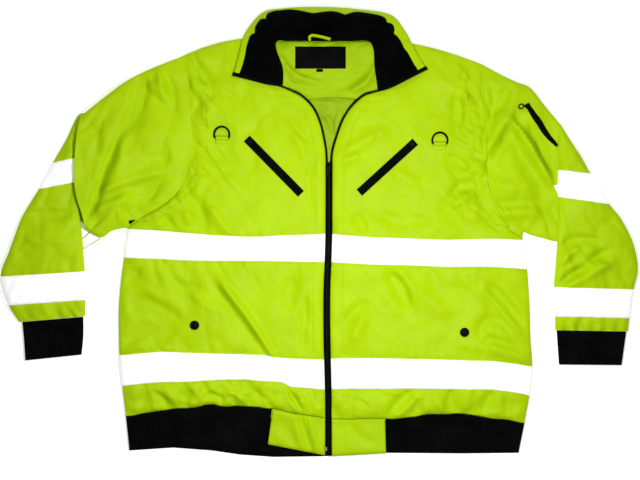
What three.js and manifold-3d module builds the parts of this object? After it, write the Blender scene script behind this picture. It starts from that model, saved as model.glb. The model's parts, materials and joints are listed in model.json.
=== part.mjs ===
// A padded hi-vis work jacket, zipped up and laid flat on its back with the collar spread open.
// Millimetres. +X to the viewer's right, +Y towards the collar, +Z up from the surface it lies on.
// Right and left are the wearer's, so the right front lies at -X.
import * as THREE from "three";
import { mergeVertices } from "three/addons/utils/BufferGeometryUtils.js";
import Module from "manifold-3d";

const wasm = await Module();
wasm.setup();
const { clamp, lerp, smoothstep, degToRad } = THREE.MathUtils;

// Driving dimensions
const GAP = 0.3;
const MIDDLE = { x: 0.451, y: 1.769 };
const BACK_WALL = { seam: 3, padded: 6.5, armhole: 4.5, sideRound: 26, endRound: 22 };
const FRONT_WALL = { seam: 3, padded: 8.2, armhole: 6.4, sideRound: 26, endRound: 20, zipRound: 14 };
const LAYER_SLIT = 0.6;
const NECK_LIFT = { height: 1.9, near: 24, far: 74, fromRow: 10.8, toRow: 12 };
const UNDERSIDE_ROUND = { height: 1.2, reach: 4 };
const TAPE = { thickness: 0.8, recess: 1.4 };
const ROW_PITCH = 24;
const LAST_ROW = 22;
const ARMPIT_ROW = 14;
const SLEEVE_WALL = { side: 8, slit: 0.8, middle: 0.45, topRound: 13, bottomRound: 9 };
const CUFF = { high: 8.4, side: 3.2, slit: 0.6 };
const RIB = { thickness: 3.2, round: 5 };
const HEM_TAB = { thickness: 3.8 };
const COLLAR = { shell: 2.4, fleece: 3.6, edgeRound: 7 };
const ZIP = { half: 5.2, thickness: 2.4, climb: 15.6 };
const CHEST_ZIP = { width: 13, thickness: 1.6 };
const SLEEVE_ZIP = { width: 10, thickness: 1.6 };
const ARMHOLE_FLAP = { from: 20, to: 2, thickness: 1.5, lastRow: 13 };
const WELT = { width: 34, thickness: 1.5 };
const SNAP = { radius: 8, height: 3 };
const D_RING = { halfWidth: 13, side: 6, corner: 3, wire: 1.7 };
const D_RING_LOOP = { width: 18, hole: 2.05, wall: 1.05, tail: 11, floor: 2.95, strap: 1.2 };
const PIN = { radius: 0.8, hole: 1.15, eye: 2, above: 2.4 };
const HEM_GATHER = 1.3;

const YELLOW = { color: 0xb4dc14, roughness: 0.55, metalness: 0 };
const LINING = { color: 0xa4c436, roughness: 0.7, metalness: 0 };
const SILVER_TAPE = { color: 0xf2f3f2, roughness: 0.45, metalness: 0 };
const BLACK_RIB = { color: 0x0b0b0c, roughness: 0.95, metalness: 0 };
const BLACK_FLEECE = { color: 0x09090a, roughness: 1, metalness: 0 };
const BLACK_ZIP = { color: 0x101012, roughness: 0.6, metalness: 0 };
const BLACK_METAL = { color: 0x131314, roughness: 0.35, metalness: 0.8 };
const BRIGHT_METAL = { color: 0xb9bbbd, roughness: 0.3, metalness: 1 };

// A short table: its column names, then one row for each section or fold.
function table(columns, ...rows) {
  const names = columns.split(" ");
  return rows.map((row) => Object.fromEntries(names.map((name, i) => [name, row[i]])));
}

// Rows of the fronts from the shoulder seam down to the waist rib: the neck or zip edge (ix, iy), the
// armhole or side edge (ox, oy), and how far the row bows up at its middle. Rows 14 and 15 are the
// edges of the chest tape, rows 19 and 20 those of the waist tape.
const RIGHT_FRONT = table(
  "ix iy ox oy bow",
  [-73, 334, -235, 303, 12],
  [-71, 311, -226, 280, 4],
  [-63, 287, -219, 249, 0],
  [-61, 263, -216, 224, 0],
  [-54, 249, -214, 201, 0],
  [-28, 233, -213, 179, 0],
  [-9.5, 213, -213, 156, 0],
  [1.7, 188, -215, 134, 0],
  [7.7, 163, -219, 112, 0],
  [11.7, 138, -226, 89, 0],
  [12.2, 112, -240, 69, 0],
  [12.2, 84, -261, 50, 0],
  [12.2, 57, -288, 34, -1],
  [12, 27, -313, 20, -3],
  [11.8, -2, -326, 7, -6],
  [10.4, -50, -334, -42, -4],
  [8.8, -89, -340, -88, 0],
  [8.3, -132, -343, -129, 0],
  [8.6, -175, -343, -170, 4],
  [9.5, -217, -342, -210, 7],
  [10.8, -268, -337, -263, 10],
  [11.2, -294, -334, -289, 9],
  [11.2, -320, -331, -314, 8],
);
const LEFT_FRONT = table(
  "ix iy ox oy bow",
  [95, 334, 279, 290, 8],
  [95, 311, 279, 260, 3],
  [94, 287, 278, 232, 0],
  [97, 263, 279, 208, 0],
  [100, 244, 282, 186, 0],
  [78, 235, 284, 163, 0],
  [57, 216, 285, 141, 0],
  [43, 194, 285, 120, 0],
  [33, 167, 286, 100, 0],
  [24.9, 138, 288, 79, 0],
  [23.9, 112, 294, 59, 0],
  [23.9, 84, 304, 38, 0],
  [23.9, 57, 317, 19, 0],
  [23.8, 27, 332, 3, -1],
  [23.6, -2, 350, -12, -3],
  [22.2, -50, 358, -62, 0],
  [20.5, -89, 361, -100, 0],
  [20, -132, 363, -136, 0],
  [20.3, -174, 364, -179, 4],
  [21.2, -216, 367, -230, 7],
  [22.4, -268, 362, -280, 7],
  [22.5, -294, 358, -303, 9],
  [22.7, -321, 354, -326, 12],
);

// The back's upper edge above the straight line between its shoulder tips, by share of its width.
const BACK_TOP_EDGE = table(
  "share rise",
  [0, 0],
  [0.07, 17],
  [0.2, 33],
  [0.31, 38],
  [0.4, 34],
  [0.56, 36],
  [0.64, 41],
  [0.76, 34],
  [0.89, 17],
  [1, 0],
);

// Rings of the sleeves: outer edge (ox, oy), inner edge (ix, iy), how much of the armhole's curve the
// ring keeps (bend), and its height. The upper lengths run from the armhole to the elbow fold.
const RIGHT_UPPER_SLEEVE = table(
  "ox oy ix iy bend high",
  [-235, 303, -326, 7, 1, 12.5],
  [-288, 282, -335, 8, 0.62, 18],
  [-331, 260, -355, 3, 0.25, 22],
  [-369, 232, -371, -6, 0.08, 23],
  [-397, 210, -398, 6, -0.29, 23],
);
const LEFT_UPPER_SLEEVE = table(
  "ox oy ix iy bend high",
  [279, 290, 350, -10, 1, 12.5],
  [311, 273, 362, -3, 0.6, 17],
  [338, 260, 376, -7, 0.3, 19],
  [364, 249, 391, -11, 0.1, 18],
  [390, 217, 402, -14, 0, 14],
  [416, 186, 415, -15, 0, 12],
);
// The lower lengths run from the tip under or over the elbow fold to the cuff. A row marked tape starts
// or ends a reflective tape, whose underside the sleeve leaves room for.
const RIGHT_LOWER_SLEEVE = table(
  "ox oy ix iy tape high",
  [-391, 219, -384, 214, 0, 9],
  [-414, 201, -395, 195, 0, 10],
  [-434, 160, -405, 165, 0, 11],
  [-457, 120, -408, 131, 1, 12],
  [-481, 75, -408, 89, 1, 13],
  [-508, 30, -404, 44, 0, 15],
  [-522, -5, -401, 6, 0, 17],
  [-532, -33, -402, -27, 0, 18],
  [-546, -75, -401, -66, 1, 18],
  [-532, -124, -400, -115, 1, 16],
  [-514, -153, -401, -143, 0, 11],
);
const LEFT_LOWER_SLEEVE = table(
  "ox oy ix iy tape high",
  [420, 189, 411, 188, 0, 14],
  [434, 157, 411, 157, 0, 20],
  [451, 131, 411, 131, 0, 22],
  [467, 102, 412, 108, 1, 23],
  [500, 49, 412, 62, 1, 23],
  [519, 25, 411, 31, 0, 23],
  [537, -9, 410, -3, 0, 22],
  [546, -40, 408, -36, 0, 21],
  [548, -67, 406, -64, 0, 20],
  [541, -97, 404, -93, 1, 19],
  [534, -146, 406, -143, 1, 16],
  [532, -169, 406, -167, 0, 11],
);
const ARM_TAPES = { right: { upper: [3, 4], lower: [8, 9] }, left: { upper: [3, 4], lower: [9, 10] } };
// The corner of cloth under the right elbow, where the upper tape shows again.
const ELBOW_CORNER = { points: [[-404, 12], [-394, 13], [-374, -9], [-404, -32]], thickness: 4 };
const ELBOW_TAPE = { points: [[-390, 2], [-377, -10], [-401, -28], [-401, -10]], thickness: 0.8 };

// Cuffs: rings from the sleeve's end to the hand's edge.
const RIGHT_CUFF = table(
  "ox oy ix iy",
  [-509, -152.9, -404, -143.9],
  [-506, -186, -404, -177],
  [-504, -219, -407, -209],
);
const LEFT_CUFF = table(
  "ox oy ix iy",
  [529, -169.4, 409, -167.4],
  [525, -198, 411, -196],
  [521, -227, 413, -226],
);

// The collar from its right front end round the neck to its left front end: neck seam (nx, ny), upper
// edge (ex, ey), the height of its arch, and the share of its depth that the fleece covers.
const COLLAR_ROWS = table(
  "nx ny ex ey arch fleece",
  [-61, 253, -145, 275, 4, 0.84],
  [-61, 282, -135, 315, 7, 0.84],
  [-72, 315, -126, 344, 12, 0.78],
  [-70, 329, -97, 378, 18, 0.85],
  [-49, 329, -61, 386, 22, 0.92],
  [-1, 329, -1, 388.5, 24, 0.85],
  [54, 329, 63, 385, 22, 0.87],
  [84, 329, 123, 375, 18, 0.82],
  [94, 315, 149, 347, 12, 0.7],
  [96, 284, 164, 318, 7, 0.78],
  [102, 243, 183, 285, 4, 0.8],
);
const COLLAR_STEPS = { around: 20, shell: 5, fleece: 5 };
const COLLAR_HEIGHT = { restGap: 0.5, outerEdge: 7 };

// The inside of the back that shows through the open neck.
const NECK_FACING = table(
  "y left right",
  [328, -80, 104],
  [311, -84, 109],
  [287, -77, 108],
  [263, -75, 111],
  [249, -68, 113],
  [229, -38, 86],
);
const NECK_LINING = table(
  "y left right",
  [228, -37, 85],
  [213, -24, 69],
  [187, -12, 55],
  [163, -6, 45],
  [138, -2, 38],
  [119, 4, 32],
);
const INSIDE_LAYER = 1;
const NECK_LABEL = { x: 3.4, y: 301, width: 87, height: 38, thickness: 0.8 };
const SIZE_TAB = { x: 2, y: 279, width: 11, height: 5, thickness: 0.8 };
const HANG_LOOP = {
  points: [[-13, 329.5], [-5, 336], [4, 338], [13, 337], [21, 330.5]],
  width: 4.5,
  thickness: 1,
  lift: 0.1,
};

// The lower edge of the waist ribs.
const RIB_HEM = table(
  "x y",
  [-325, -374],
  [-250, -369],
  [-183, -374],
  [-135, -381],
  [-77, -385],
  [0, -384],
  [60, -382],
  [116, -378],
  [247, -379],
  [343, -378],
);
const FRONT_RIB_RISE = 1.5;
const TAB_SPLAY = 4.8;
const HEM_TABS = {
  right: { share: 0.262, inner: [11.2, -382], outer: [-87, -363] },
  left: { share: 0.276, inner: [23.2, -383.5], outer: [116, -378.4] },
};

// Largest folds, each along a bent line of three points: rise (a trough is negative) and half width.
const FOLDS = table(
  "ax ay bx by cx cy rise half",
  [-169, -84, -134, -127, -79, -211, 5, 17],
  [-225, 79, -208, 52, -192, 5, -3.5, 15],
  [-186, 46, -171, 24, -156, 2, 3, 13],
  [-211, 291, -188, 260, -187, 222, -3.5, 16],
  [-197, 239, -194, 208, -187, 177, 3, 13],
  [-304, -111, -269, -131, -230, -153, -4, 17],
  [-333, -190, -307, -175, -280, -161, -3.5, 15],
  [-298, -198, -271, -182, -242, -166, -3, 15],
  [-47, -76, -47, -105, -49, -134, -3, 18],
  [-282, -274, -267, -287, -253, -304, -3.5, 13],
  [239, 237, 240, 208, 236, 177, -4, 17],
  [223, 134, 240, 124, 259, 112, -3.5, 14],
  [39, 139, 71, 153, 113, 177, 3.5, 14],
  [233, 76, 250, 84, 267, 86, -3, 14],
  [63, 36, 71, 19, 82, 3, -3, 14],
  [119, -64, 144, -95, 154, -127, -4, 17],
  [47, -155, 63, -131, 85, -125, -3.5, 16],
  [78, -143, 66, -165, 58, -186, 3.5, 13],
  [288, -83, 321, -120, 353, -160, -4.5, 17],
  [273, -178, 295, -150, 328, -170, -3.5, 16],
  [288, -196, 324, -205, 363, -225, 3.5, 13],
  [116, -308, 137, -289, 159, -272, -3.5, 14],
  [-307, 270, -309, 223, -341, 169, -6, 21],
  [-345, 162, -367, 105, -396, 26, -7, 23],
  [-376, 60, -321, 79, -255, 96, -3.5, 15],
  [-293, 244, -268, 222, -238, 200, -3, 15],
  [-383, 33, -355, 48, -324, 71, 3.5, 15],
  [328, 249, 316, 229, 305, 208, -4.5, 17],
  [338, 217, 307, 170, 285, 134, 3.5, 15],
  [326, 177, 357, 126, 398, 57, 7, 17],
  [364, 186, 390, 139, 408, 98, -4, 18],
  [295, 53, 338, 52, 388, 57, -3, 14],
  [415, -86, 450, -60, 494, -29, -4.5, 16],
  [-495, 34, -465, 31, -433, 33, -2.5, 15],
);

// Small fittings, by their middles on the fronts.
const CHEST_ZIP_ENDS = { right: [[-123, 162], [-30, 67]], left: [[166, 156.5], [70, 69]] };
const D_RING_BARS = { right: [-165.6, 163], left: [208, 153] };
const SNAP_CENTRES = { right: [-212.4, -158.2], left: [250.3, -170.3] };
const WELTS = {
  right: { top: [-214, -62], bottom: [-210, -199] },
  left: { top: [256, -68], bottom: [257, -207] },
};
const SLIDER = { x: 18, y: 117, width: 9, length: 14, plate: 2.2 };
const RETAINER = { x: 13, y: -371, width: 6, length: 8, height: 3.4 };
const SLEEVE_ZIP_LINE = [
  [362, 215.5], [370.5, 200], [380, 187.5], [387.5, 175], [395.5, 164.5], [405, 155],
];
const SLEEVE_SLIDER = { x: 358.6, y: 218, turn: -82, width: 8, length: 9, plate: 1.6 };
const ARMPIT_ZIP_END = { points: [[-323, 24], [-307, 27], [-315, 15], [-326, 13]], thickness: 1.4 };

// A value on a smooth line through four evenly spaced ones, between the middle two.
function smoothLine(a, b, c, d, f) {
  const linear = (c - a) * f;
  const square = (2 * a - 5 * b + 4 * c - d) * f * f;
  const cube = (3 * b - a - 3 * c + d) * f * f * f;
  return 0.5 * (2 * b + linear + square + cube);
}

// A table's row at s, counted in rows, smoothly between its neighbours.
function rowAt(rows, s) {
  const i = clamp(Math.floor(s), 0, rows.length - 2);
  const near = [-1, 0, 1, 2].map((k) => rows[clamp(i + k, 0, rows.length - 1)]);
  const names = Object.keys(rows[0]);
  return Object.fromEntries(names.map((n) => [n, smoothLine(...near.map((row) => row[n]), s - i)]));
}

// A table read straight between its rows by the column given.
function readBy(rows, by, want, value) {
  const rising = rows[rows.length - 1][by] > rows[0][by];
  const ordered = rising ? rows : [...rows].reverse();
  const after = ordered.findIndex((row) => row[by] >= value);
  if (after === 0) return ordered[0][want];
  if (after < 0) return ordered[ordered.length - 1][want];
  const a = ordered[after - 1];
  const b = ordered[after];
  return lerp(a[want], b[want], (value - a[by]) / (b[by] - a[by]));
}

// How full a padded wall is at a distance from its edge: 0 at the edge, 1 past the reach.
function fullness(distance, reach) {
  const left = 1 - clamp(distance / reach, 0, 1);
  return Math.sqrt(1 - left * left);
}

function alongSegment(x, y, ax, ay, bx, by) {
  const dx = bx - ax;
  const dy = by - ay;
  const share = clamp(((x - ax) * dx + (y - ay) * dy) / (dx * dx + dy * dy), 0, 1);
  return { share, away: Math.hypot(x - ax - share * dx, y - ay - share * dy) };
}

// The folds' relief at a point of the cloth.
function foldRelief(x, y) {
  let sum = 0;
  for (const f of FOLDS) {
    const first = alongSegment(x, y, f.ax, f.ay, f.bx, f.by);
    const second = alongSegment(x, y, f.bx, f.by, f.cx, f.cy);
    const near = first.away < second.away ? first : second;
    const along = first.away < second.away ? first.share / 2 : 0.5 + second.share / 2;
    const fade = 1 - Math.pow(Math.abs(2 * along - 1), 4) * 0.7;
    sum += f.rise * fade * Math.exp(-((near.away / f.half) ** 2));
  }
  return sum;
}

// Share of the armhole's extra padding at a row of the body.
function armholeShare(s) {
  return smoothstep(s, 0, 1.5) * (1 - smoothstep(s, 12, ARMPIT_ROW));
}

function padded(wall, toSide, s) {
  const seam = lerp(wall.seam, wall.armhole, armholeShare(s));
  const top = fullness(s * ROW_PITCH, wall.endRound);
  const hem = fullness((LAST_ROW - s) * ROW_PITCH, wall.endRound);
  return seam + (wall.padded - seam) * fullness(toSide, wall.sideRound) * top * hem;
}

// A point of a front: where it lies, its underside and its face, at row s and share w of the way from
// the zip to the side.
function frontAt(rows, s, w) {
  const row = rowAt(rows, s);
  const length = Math.hypot(row.ox - row.ix, row.oy - row.iy);
  const x = lerp(row.ix, row.ox, w);
  const y = lerp(row.iy, row.oy, w) + row.bow * 4 * w * (1 - w);
  const toZip = w * length;
  const toSide = (1 - w) * length;
  const nearNeck = 1 - smoothstep(toZip, NECK_LIFT.near, NECK_LIFT.far);
  const lift = NECK_LIFT.height * nearNeck * (1 - smoothstep(s, NECK_LIFT.fromRow, NECK_LIFT.toRow));
  const low = padded(BACK_WALL, toSide, s) + LAYER_SLIT + lift;
  const zipSide = fullness(toZip, FRONT_WALL.zipRound);
  const wall = lerp(FRONT_WALL.seam, padded(FRONT_WALL, toSide, s), zipSide);
  const ends = fullness(s * ROW_PITCH, FRONT_WALL.endRound) * fullness((LAST_ROW - s) * ROW_PITCH, 10);
  const relief = foldRelief(x, y) * fullness(toSide, 30) * zipSide * ends;
  return { x, y, low, high: low + wall + relief };
}

// Closed surfaces made from grids of points. Each quad is split the same way, so a piece made from
// another's points fits its facets.
function pushQuad(index, a, b, c, d) {
  index.push(a, b, c, a, c, d);
}

function geometryOf(points, index) {
  let volume = 0;
  for (let i = 0; i < index.length; i += 3) {
    const [a, b, c] = [points[index[i]], points[index[i + 1]], points[index[i + 2]]];
    volume += a[0] * (b[1] * c[2] - b[2] * c[1]);
    volume += a[1] * (b[2] * c[0] - b[0] * c[2]);
    volume += a[2] * (b[0] * c[1] - b[1] * c[0]);
  }
  if (volume < 0) index.reverse();
  const geometry = new THREE.BufferGeometry();
  geometry.setAttribute("position", new THREE.Float32BufferAttribute(points.flat(), 3));
  geometry.setIndex(index);
  geometry.computeVertexNormals();
  return geometry;
}

// A sheet with thickness: a grid of face points over a grid of underside points.
function slab(top, bottom) {
  const rows = top.length;
  const columns = top[0].length;
  const face = (r, c) => r * columns + c;
  const under = (r, c) => rows * columns + face(r, c);
  const index = [];
  for (let r = 0; r + 1 < rows; r++) {
    for (let c = 0; c + 1 < columns; c++) {
      pushQuad(index, face(r, c), face(r + 1, c), face(r + 1, c + 1), face(r, c + 1));
      pushQuad(index, under(r, c), under(r, c + 1), under(r + 1, c + 1), under(r + 1, c));
    }
    const end = columns - 1;
    pushQuad(index, face(r + 1, 0), face(r, 0), under(r, 0), under(r + 1, 0));
    pushQuad(index, face(r, end), face(r + 1, end), under(r + 1, end), under(r, end));
  }
  for (let c = 0; c + 1 < columns; c++) {
    const end = rows - 1;
    pushQuad(index, face(0, c), face(0, c + 1), under(0, c + 1), under(0, c));
    pushQuad(index, face(end, c + 1), face(end, c), under(end, c), under(end, c + 1));
  }
  return geometryOf([...top.flat(), ...bottom.flat()], index);
}

// A flattened tube: outer rings and inner rings of as many points, open at the first ring, and at the
// last one either open or closed. A ring runs along its top and back along its underside.
function tube(outer, inner, closedEnd) {
  const around = outer[0].length;
  const half = around / 2;
  const points = [...outer.flat(), ...inner.flat()];
  const out = (v, k) => v * around + (k % around);
  const within = (v, k) => outer.length * around + out(v, k);
  const index = [];
  for (let k = 0; k < around; k++) {
    for (let v = 0; v + 1 < outer.length; v++) {
      pushQuad(index, out(v, k), out(v + 1, k), out(v + 1, k + 1), out(v, k + 1));
    }
    for (let v = 0; v + 1 < inner.length; v++) {
      pushQuad(index, within(v, k), within(v, k + 1), within(v + 1, k + 1), within(v + 1, k));
    }
    pushQuad(index, out(0, k), out(0, k + 1), within(0, k + 1), within(0, k));
    if (!closedEnd) {
      const [a, b] = [outer.length - 1, inner.length - 1];
      pushQuad(index, out(a, k + 1), out(a, k), within(b, k), within(b, k + 1));
    }
  }
  if (closedEnd) {
    for (let k = 0; k < half; k++) {
      const [a, b] = [outer.length - 1, inner.length - 1];
      const across = (k0) => (around - k0) % around;
      if (k > 0) index.push(out(a, k), out(a, across(k)), out(a, k + 1));
      if (k + 1 < half) index.push(out(a, k + 1), out(a, across(k)), out(a, across(k + 1)));
      if (k > 0) index.push(within(b, k), within(b, k + 1), within(b, across(k)));
      if (k + 1 < half) index.push(within(b, k + 1), within(b, across(k + 1)), within(b, across(k)));
    }
  }
  return geometryOf(points, index);
}

// The height of a grid's facets at a place, or nothing past its edges.
function heightOn(grid, x, y) {
  for (let r = 0; r + 1 < grid.length; r++) {
    for (let c = 0; c + 1 < grid[0].length; c++) {
      const [a, b, d, e] = [grid[r][c], grid[r + 1][c], grid[r + 1][c + 1], grid[r][c + 1]];
      for (const [p, q, t] of [[a, b, d], [a, d, e]]) {
        const area = (q[0] - p[0]) * (t[1] - p[1]) - (t[0] - p[0]) * (q[1] - p[1]);
        if (Math.abs(area) < 1e-9) continue;
        const u = ((x - p[0]) * (t[1] - p[1]) - (t[0] - p[0]) * (y - p[1])) / area;
        const v = ((q[0] - p[0]) * (y - p[1]) - (x - p[0]) * (q[1] - p[1])) / area;
        if (u < -1e-6 || v < -1e-6 || u + v > 1 + 1e-6) continue;
        return p[2] + u * (q[2] - p[2]) + v * (t[2] - p[2]);
      }
    }
  }
  return undefined;
}

// The highest facet of several grids near a place, or the level given where there is none.
function restOn(grids, x, y, reach, level = 0) {
  let highest = level;
  const steps = reach > 0 ? [-reach, 0, reach] : [0];
  for (const grid of grids) {
    for (const dx of steps) {
      for (const dy of steps) highest = Math.max(highest, heightOn(grid, x + dx, y + dy) ?? level);
    }
  }
  return highest;
}

// A piece that lies on other cloth: a grid of places, laid on the facets below it.
function laid(places, grids, thickness, reach, lift = GAP) {
  const bottom = places.map((row) => row.map(([x, y]) => [x, y, restOn(grids, x, y, reach) + lift]));
  const top = bottom.map((row) => row.map(([x, y, z]) => [x, y, z + thickness]));
  return { geometry: slab(top, bottom), top, bottom };
}

// Places across a line, from its left to its right.
function ribbonPlaces(line, width, across = 1) {
  return line.map(([x, y], i) => {
    const [ax, ay] = line[Math.max(i - 1, 0)];
    const [bx, by] = line[Math.min(i + 1, line.length - 1)];
    const length = Math.hypot(bx - ax, by - ay);
    const [nx, ny] = [-(by - ay) / length, (bx - ax) / length];
    return Array.from({ length: across + 1 }, (_, k) => {
      const side = (k / across - 0.5) * width;
      return [x + nx * side, y + ny * side];
    });
  });
}

// Even steps along a straight line.
function straight([ax, ay], [bx, by], steps) {
  return Array.from({ length: steps + 1 }, (_, i) => [lerp(ax, bx, i / steps), lerp(ay, by, i / steps)]);
}

// A four-cornered patch of places: first corner to second along its rows, fourth to third below.
function patchPlaces([p, q, r, s], rows, columns) {
  return Array.from({ length: rows + 1 }, (_, i) => {
    const left = [lerp(p[0], s[0], i / rows), lerp(p[1], s[1], i / rows)];
    const right = [lerp(q[0], r[0], i / rows), lerp(q[1], r[1], i / rows)];
    return straight(left, right, columns);
  });
}

function toSolid(geometry) {
  const bare = new THREE.BufferGeometry();
  bare.setAttribute("position", geometry.getAttribute("position").clone());
  if (geometry.index) bare.setIndex(geometry.index.clone());
  const merged = mergeVertices(bare, 1e-4);
  return new wasm.Manifold(
    new wasm.Mesh({
      numProp: 3,
      vertProperties: new Float32Array(merged.attributes.position.array),
      triVerts: new Uint32Array(merged.index.array),
    }),
  );
}

function joined(...geometries) {
  let solid = toSolid(geometries[0]);
  for (const geometry of geometries.slice(1)) solid = solid.add(toSolid(geometry));
  const mesh = solid.getMesh();
  const geometry = new THREE.BufferGeometry();
  geometry.setAttribute("position", new THREE.BufferAttribute(new Float32Array(mesh.vertProperties), 3));
  geometry.setIndex(new THREE.BufferAttribute(new Uint32Array(mesh.triVerts), 1));
  geometry.computeVertexNormals();
  return geometry;
}

const jacket = new THREE.Group();
jacket.name = "work_jacket";
jacket.position.set(-MIDDLE.x, -MIDDLE.y, 0);

function piece(name, geometry, finish, parent = jacket) {
  const mesh = new THREE.Mesh(geometry, new THREE.MeshStandardMaterial(finish));
  mesh.name = name;
  parent.add(mesh);
  return mesh;
}

// Back
const BACK_ROWS = [
  0, 1, 2, 3, 4, 5, 6, 7, 8, 9, 10, 11, 12, 13, 13.93, 14, 15, 15.07, 17, 18.95, 19, 20, 20.05, 21, 22,
];
const BACK_TAPED = [14, 15, 19, 20];
const BACK_SHARES = [0.08, 0.2, 0.33, 0.48, 0.63, 0.76, 0.9];
const EDGE_STEPS = [0, 3, 10];

function backAt(s, w) {
  const [right, left] = [rowAt(RIGHT_FRONT, s), rowAt(LEFT_FRONT, s)];
  const width = left.ox - right.ox;
  const rise = readBy(BACK_TOP_EDGE, "share", "rise", w) * clamp(1 - s / 5, 0, 1);
  const x = lerp(right.ox, left.ox, w);
  const y = lerp(right.oy, left.oy, w) + rise;
  const toSide = Math.min(w, 1 - w) * width;
  const toEnd = Math.min(s, LAST_ROW - s) * ROW_PITCH;
  const turn = 1 - Math.min(fullness(toSide, UNDERSIDE_ROUND.reach), fullness(toEnd, UNDERSIDE_ROUND.reach));
  const recess = BACK_TAPED.includes(s) ? TAPE.recess : 0;
  const low = Math.max(UNDERSIDE_ROUND.height * turn, recess);
  return { x, y, low, high: padded(BACK_WALL, toSide, s) };
}

function gridOf(rows, sharesAt, pointAt) {
  const points = rows.map((s) => sharesAt(s).map((w) => pointAt(s, w)));
  return {
    top: points.map((row) => row.map((p) => [p.x, p.y, p.high])),
    bottom: points.map((row) => row.map((p) => [p.x, p.y, p.low])),
  };
}

function backShares(s) {
  const width = rowAt(LEFT_FRONT, s).ox - rowAt(RIGHT_FRONT, s).ox;
  const edge = EDGE_STEPS.map((step) => step / width);
  return [...edge, ...BACK_SHARES, ...edge.map((share) => 1 - share).reverse()];
}

const back = gridOf(BACK_ROWS, backShares, backAt);
piece("back", slab(back.top, back.bottom), YELLOW);

const BACK_TAPE_GAP = 0.1;
function backTape(name, firstRow) {
  const first = BACK_ROWS.indexOf(firstRow);
  const places = back.bottom.slice(first, first + 2).map((row) => row.map(([x, y]) => [x, y]));
  const bottom = places.map((row) => row.map(([x, y]) => [x, y, BACK_TAPE_GAP]));
  const top = places.map((row) => row.map(([x, y]) => [x, y, BACK_TAPE_GAP + TAPE.thickness]));
  piece(name, slab(top, bottom), SILVER_TAPE);
}
backTape("tape_chest_back", 14);
backTape("tape_waist_back", 19);

// Fronts
const FRONT_ROWS = [...RIGHT_FRONT.keys(), 16.5, 17.5].sort((a, b) => a - b);
const ZIP_EDGE_STEPS = [0, 3, 9];
const SIDE_EDGE_STEPS = [ARMHOLE_FLAP.from, 9, ARMHOLE_FLAP.to, 0];
const MIDDLE_COLUMNS = 12;
const ON_BACK = { reach: 6, gap: 0.6 };
const SIDES = { right: { rows: RIGHT_FRONT, sign: -1 }, left: { rows: LEFT_FRONT, sign: 1 } };

function frontShares(rows, s) {
  const row = rowAt(rows, s);
  const length = Math.hypot(row.ox - row.ix, row.oy - row.iy);
  const near = ZIP_EDGE_STEPS.map((step) => step / length);
  const far = SIDE_EDGE_STEPS.map((step) => 1 - step / length);
  const [from, to] = [near[near.length - 1], far[0]];
  const middle = Array.from({ length: MIDDLE_COLUMNS }, (_, i) =>
    lerp(from, to, (i + 1) / (MIDDLE_COLUMNS + 1)),
  );
  return [...near, ...middle, ...far];
}

function frontGrid(rows) {
  const pointAt = (s, w) => {
    const p = frontAt(rows, s, w);
    const rise = Math.max(0, restOn([back.top], p.x, p.y, ON_BACK.reach) + ON_BACK.gap - p.low);
    return { ...p, low: p.low + rise, high: p.high + rise };
  };
  const grid = gridOf(FRONT_ROWS, (s) => frontShares(rows, s), pointAt);
  const gathered = FRONT_ROWS.indexOf(LAST_ROW - 1);
  const columns = grid.top[0].length;
  for (let c = ZIP_EDGE_STEPS.length; c < columns - SIDE_EDGE_STEPS.length; c++) {
    grid.top[gathered][c][2] += c % 2 ? HEM_GATHER : -HEM_GATHER;
  }
  return grid;
}

const fronts = { right: frontGrid(RIGHT_FRONT), left: frontGrid(LEFT_FRONT) };
const frontFaces = [fronts.right.top, fronts.left.top];

// Raises a stretch of a grid into a thin layer that lies on it.
function raised(grid, rowSpan, columnSpan, thickness) {
  const cut = grid.slice(rowSpan[0], rowSpan[1] + 1).map((row) => row.slice(columnSpan[0], columnSpan[1] + 1));
  const lift = (by) => cut.map((row) => row.map(([x, y, z]) => [x, y, z + by]));
  return slab(lift(GAP + thickness), lift(GAP));
}

for (const [side, { rows }] of Object.entries(SIDES)) {
  const { top, bottom } = fronts[side];
  const columns = top[0].length;
  const rowIndex = (s) => FRONT_ROWS.indexOf(s);
  piece(`front_${side}`, slab(top, bottom), YELLOW);
  piece(
    `tape_chest_${side}`,
    raised(top, [rowIndex(14), rowIndex(15)], [0, columns - 1], TAPE.thickness),
    SILVER_TAPE,
  );
  piece(
    `tape_waist_${side}`,
    raised(top, [rowIndex(19), rowIndex(20)], [0, columns - 1], TAPE.thickness),
    SILVER_TAPE,
  );
  const flapColumns = [columns - SIDE_EDGE_STEPS.length, columns - 2];
  const flapRows = [0, rowIndex(ARMHOLE_FLAP.lastRow)];
  piece(`armhole_flap_${side}`, raised(top, flapRows, flapColumns, ARMHOLE_FLAP.thickness), YELLOW);

  const [from, to] = CHEST_ZIP_ENDS[side];
  const zip = laid(
    ribbonPlaces(straight(from, to, 10), CHEST_ZIP.width, 2),
    [top],
    CHEST_ZIP.thickness,
    3,
  );
  piece(`chest_zip_${side}`, zip.geometry, BLACK_ZIP);
  const { top: weltTop, bottom: weltBottom } = WELTS[side];
  const welt = laid(
    ribbonPlaces(straight(weltTop, weltBottom, 8), WELT.width, 2),
    [top],
    WELT.thickness,
    4,
  );
  piece(`pocket_welt_${side}`, welt.geometry, YELLOW);
  fronts[side] = { ...fronts[side], rows, zip, welt };
}

// Inside of the back that shows in the neck
function insideLayer(name, rows, finish) {
  const places = rows.map((row) => straight([row.left, row.y], [row.right, row.y], 7));
  const layer = laid(places, [back.top], INSIDE_LAYER, 6, 2 * GAP);
  piece(name, layer.geometry, finish);
  return layer.top;
}
const facing = insideLayer("back_facing", NECK_FACING, YELLOW);
const lining = insideLayer("back_lining", NECK_LINING, LINING);

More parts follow.
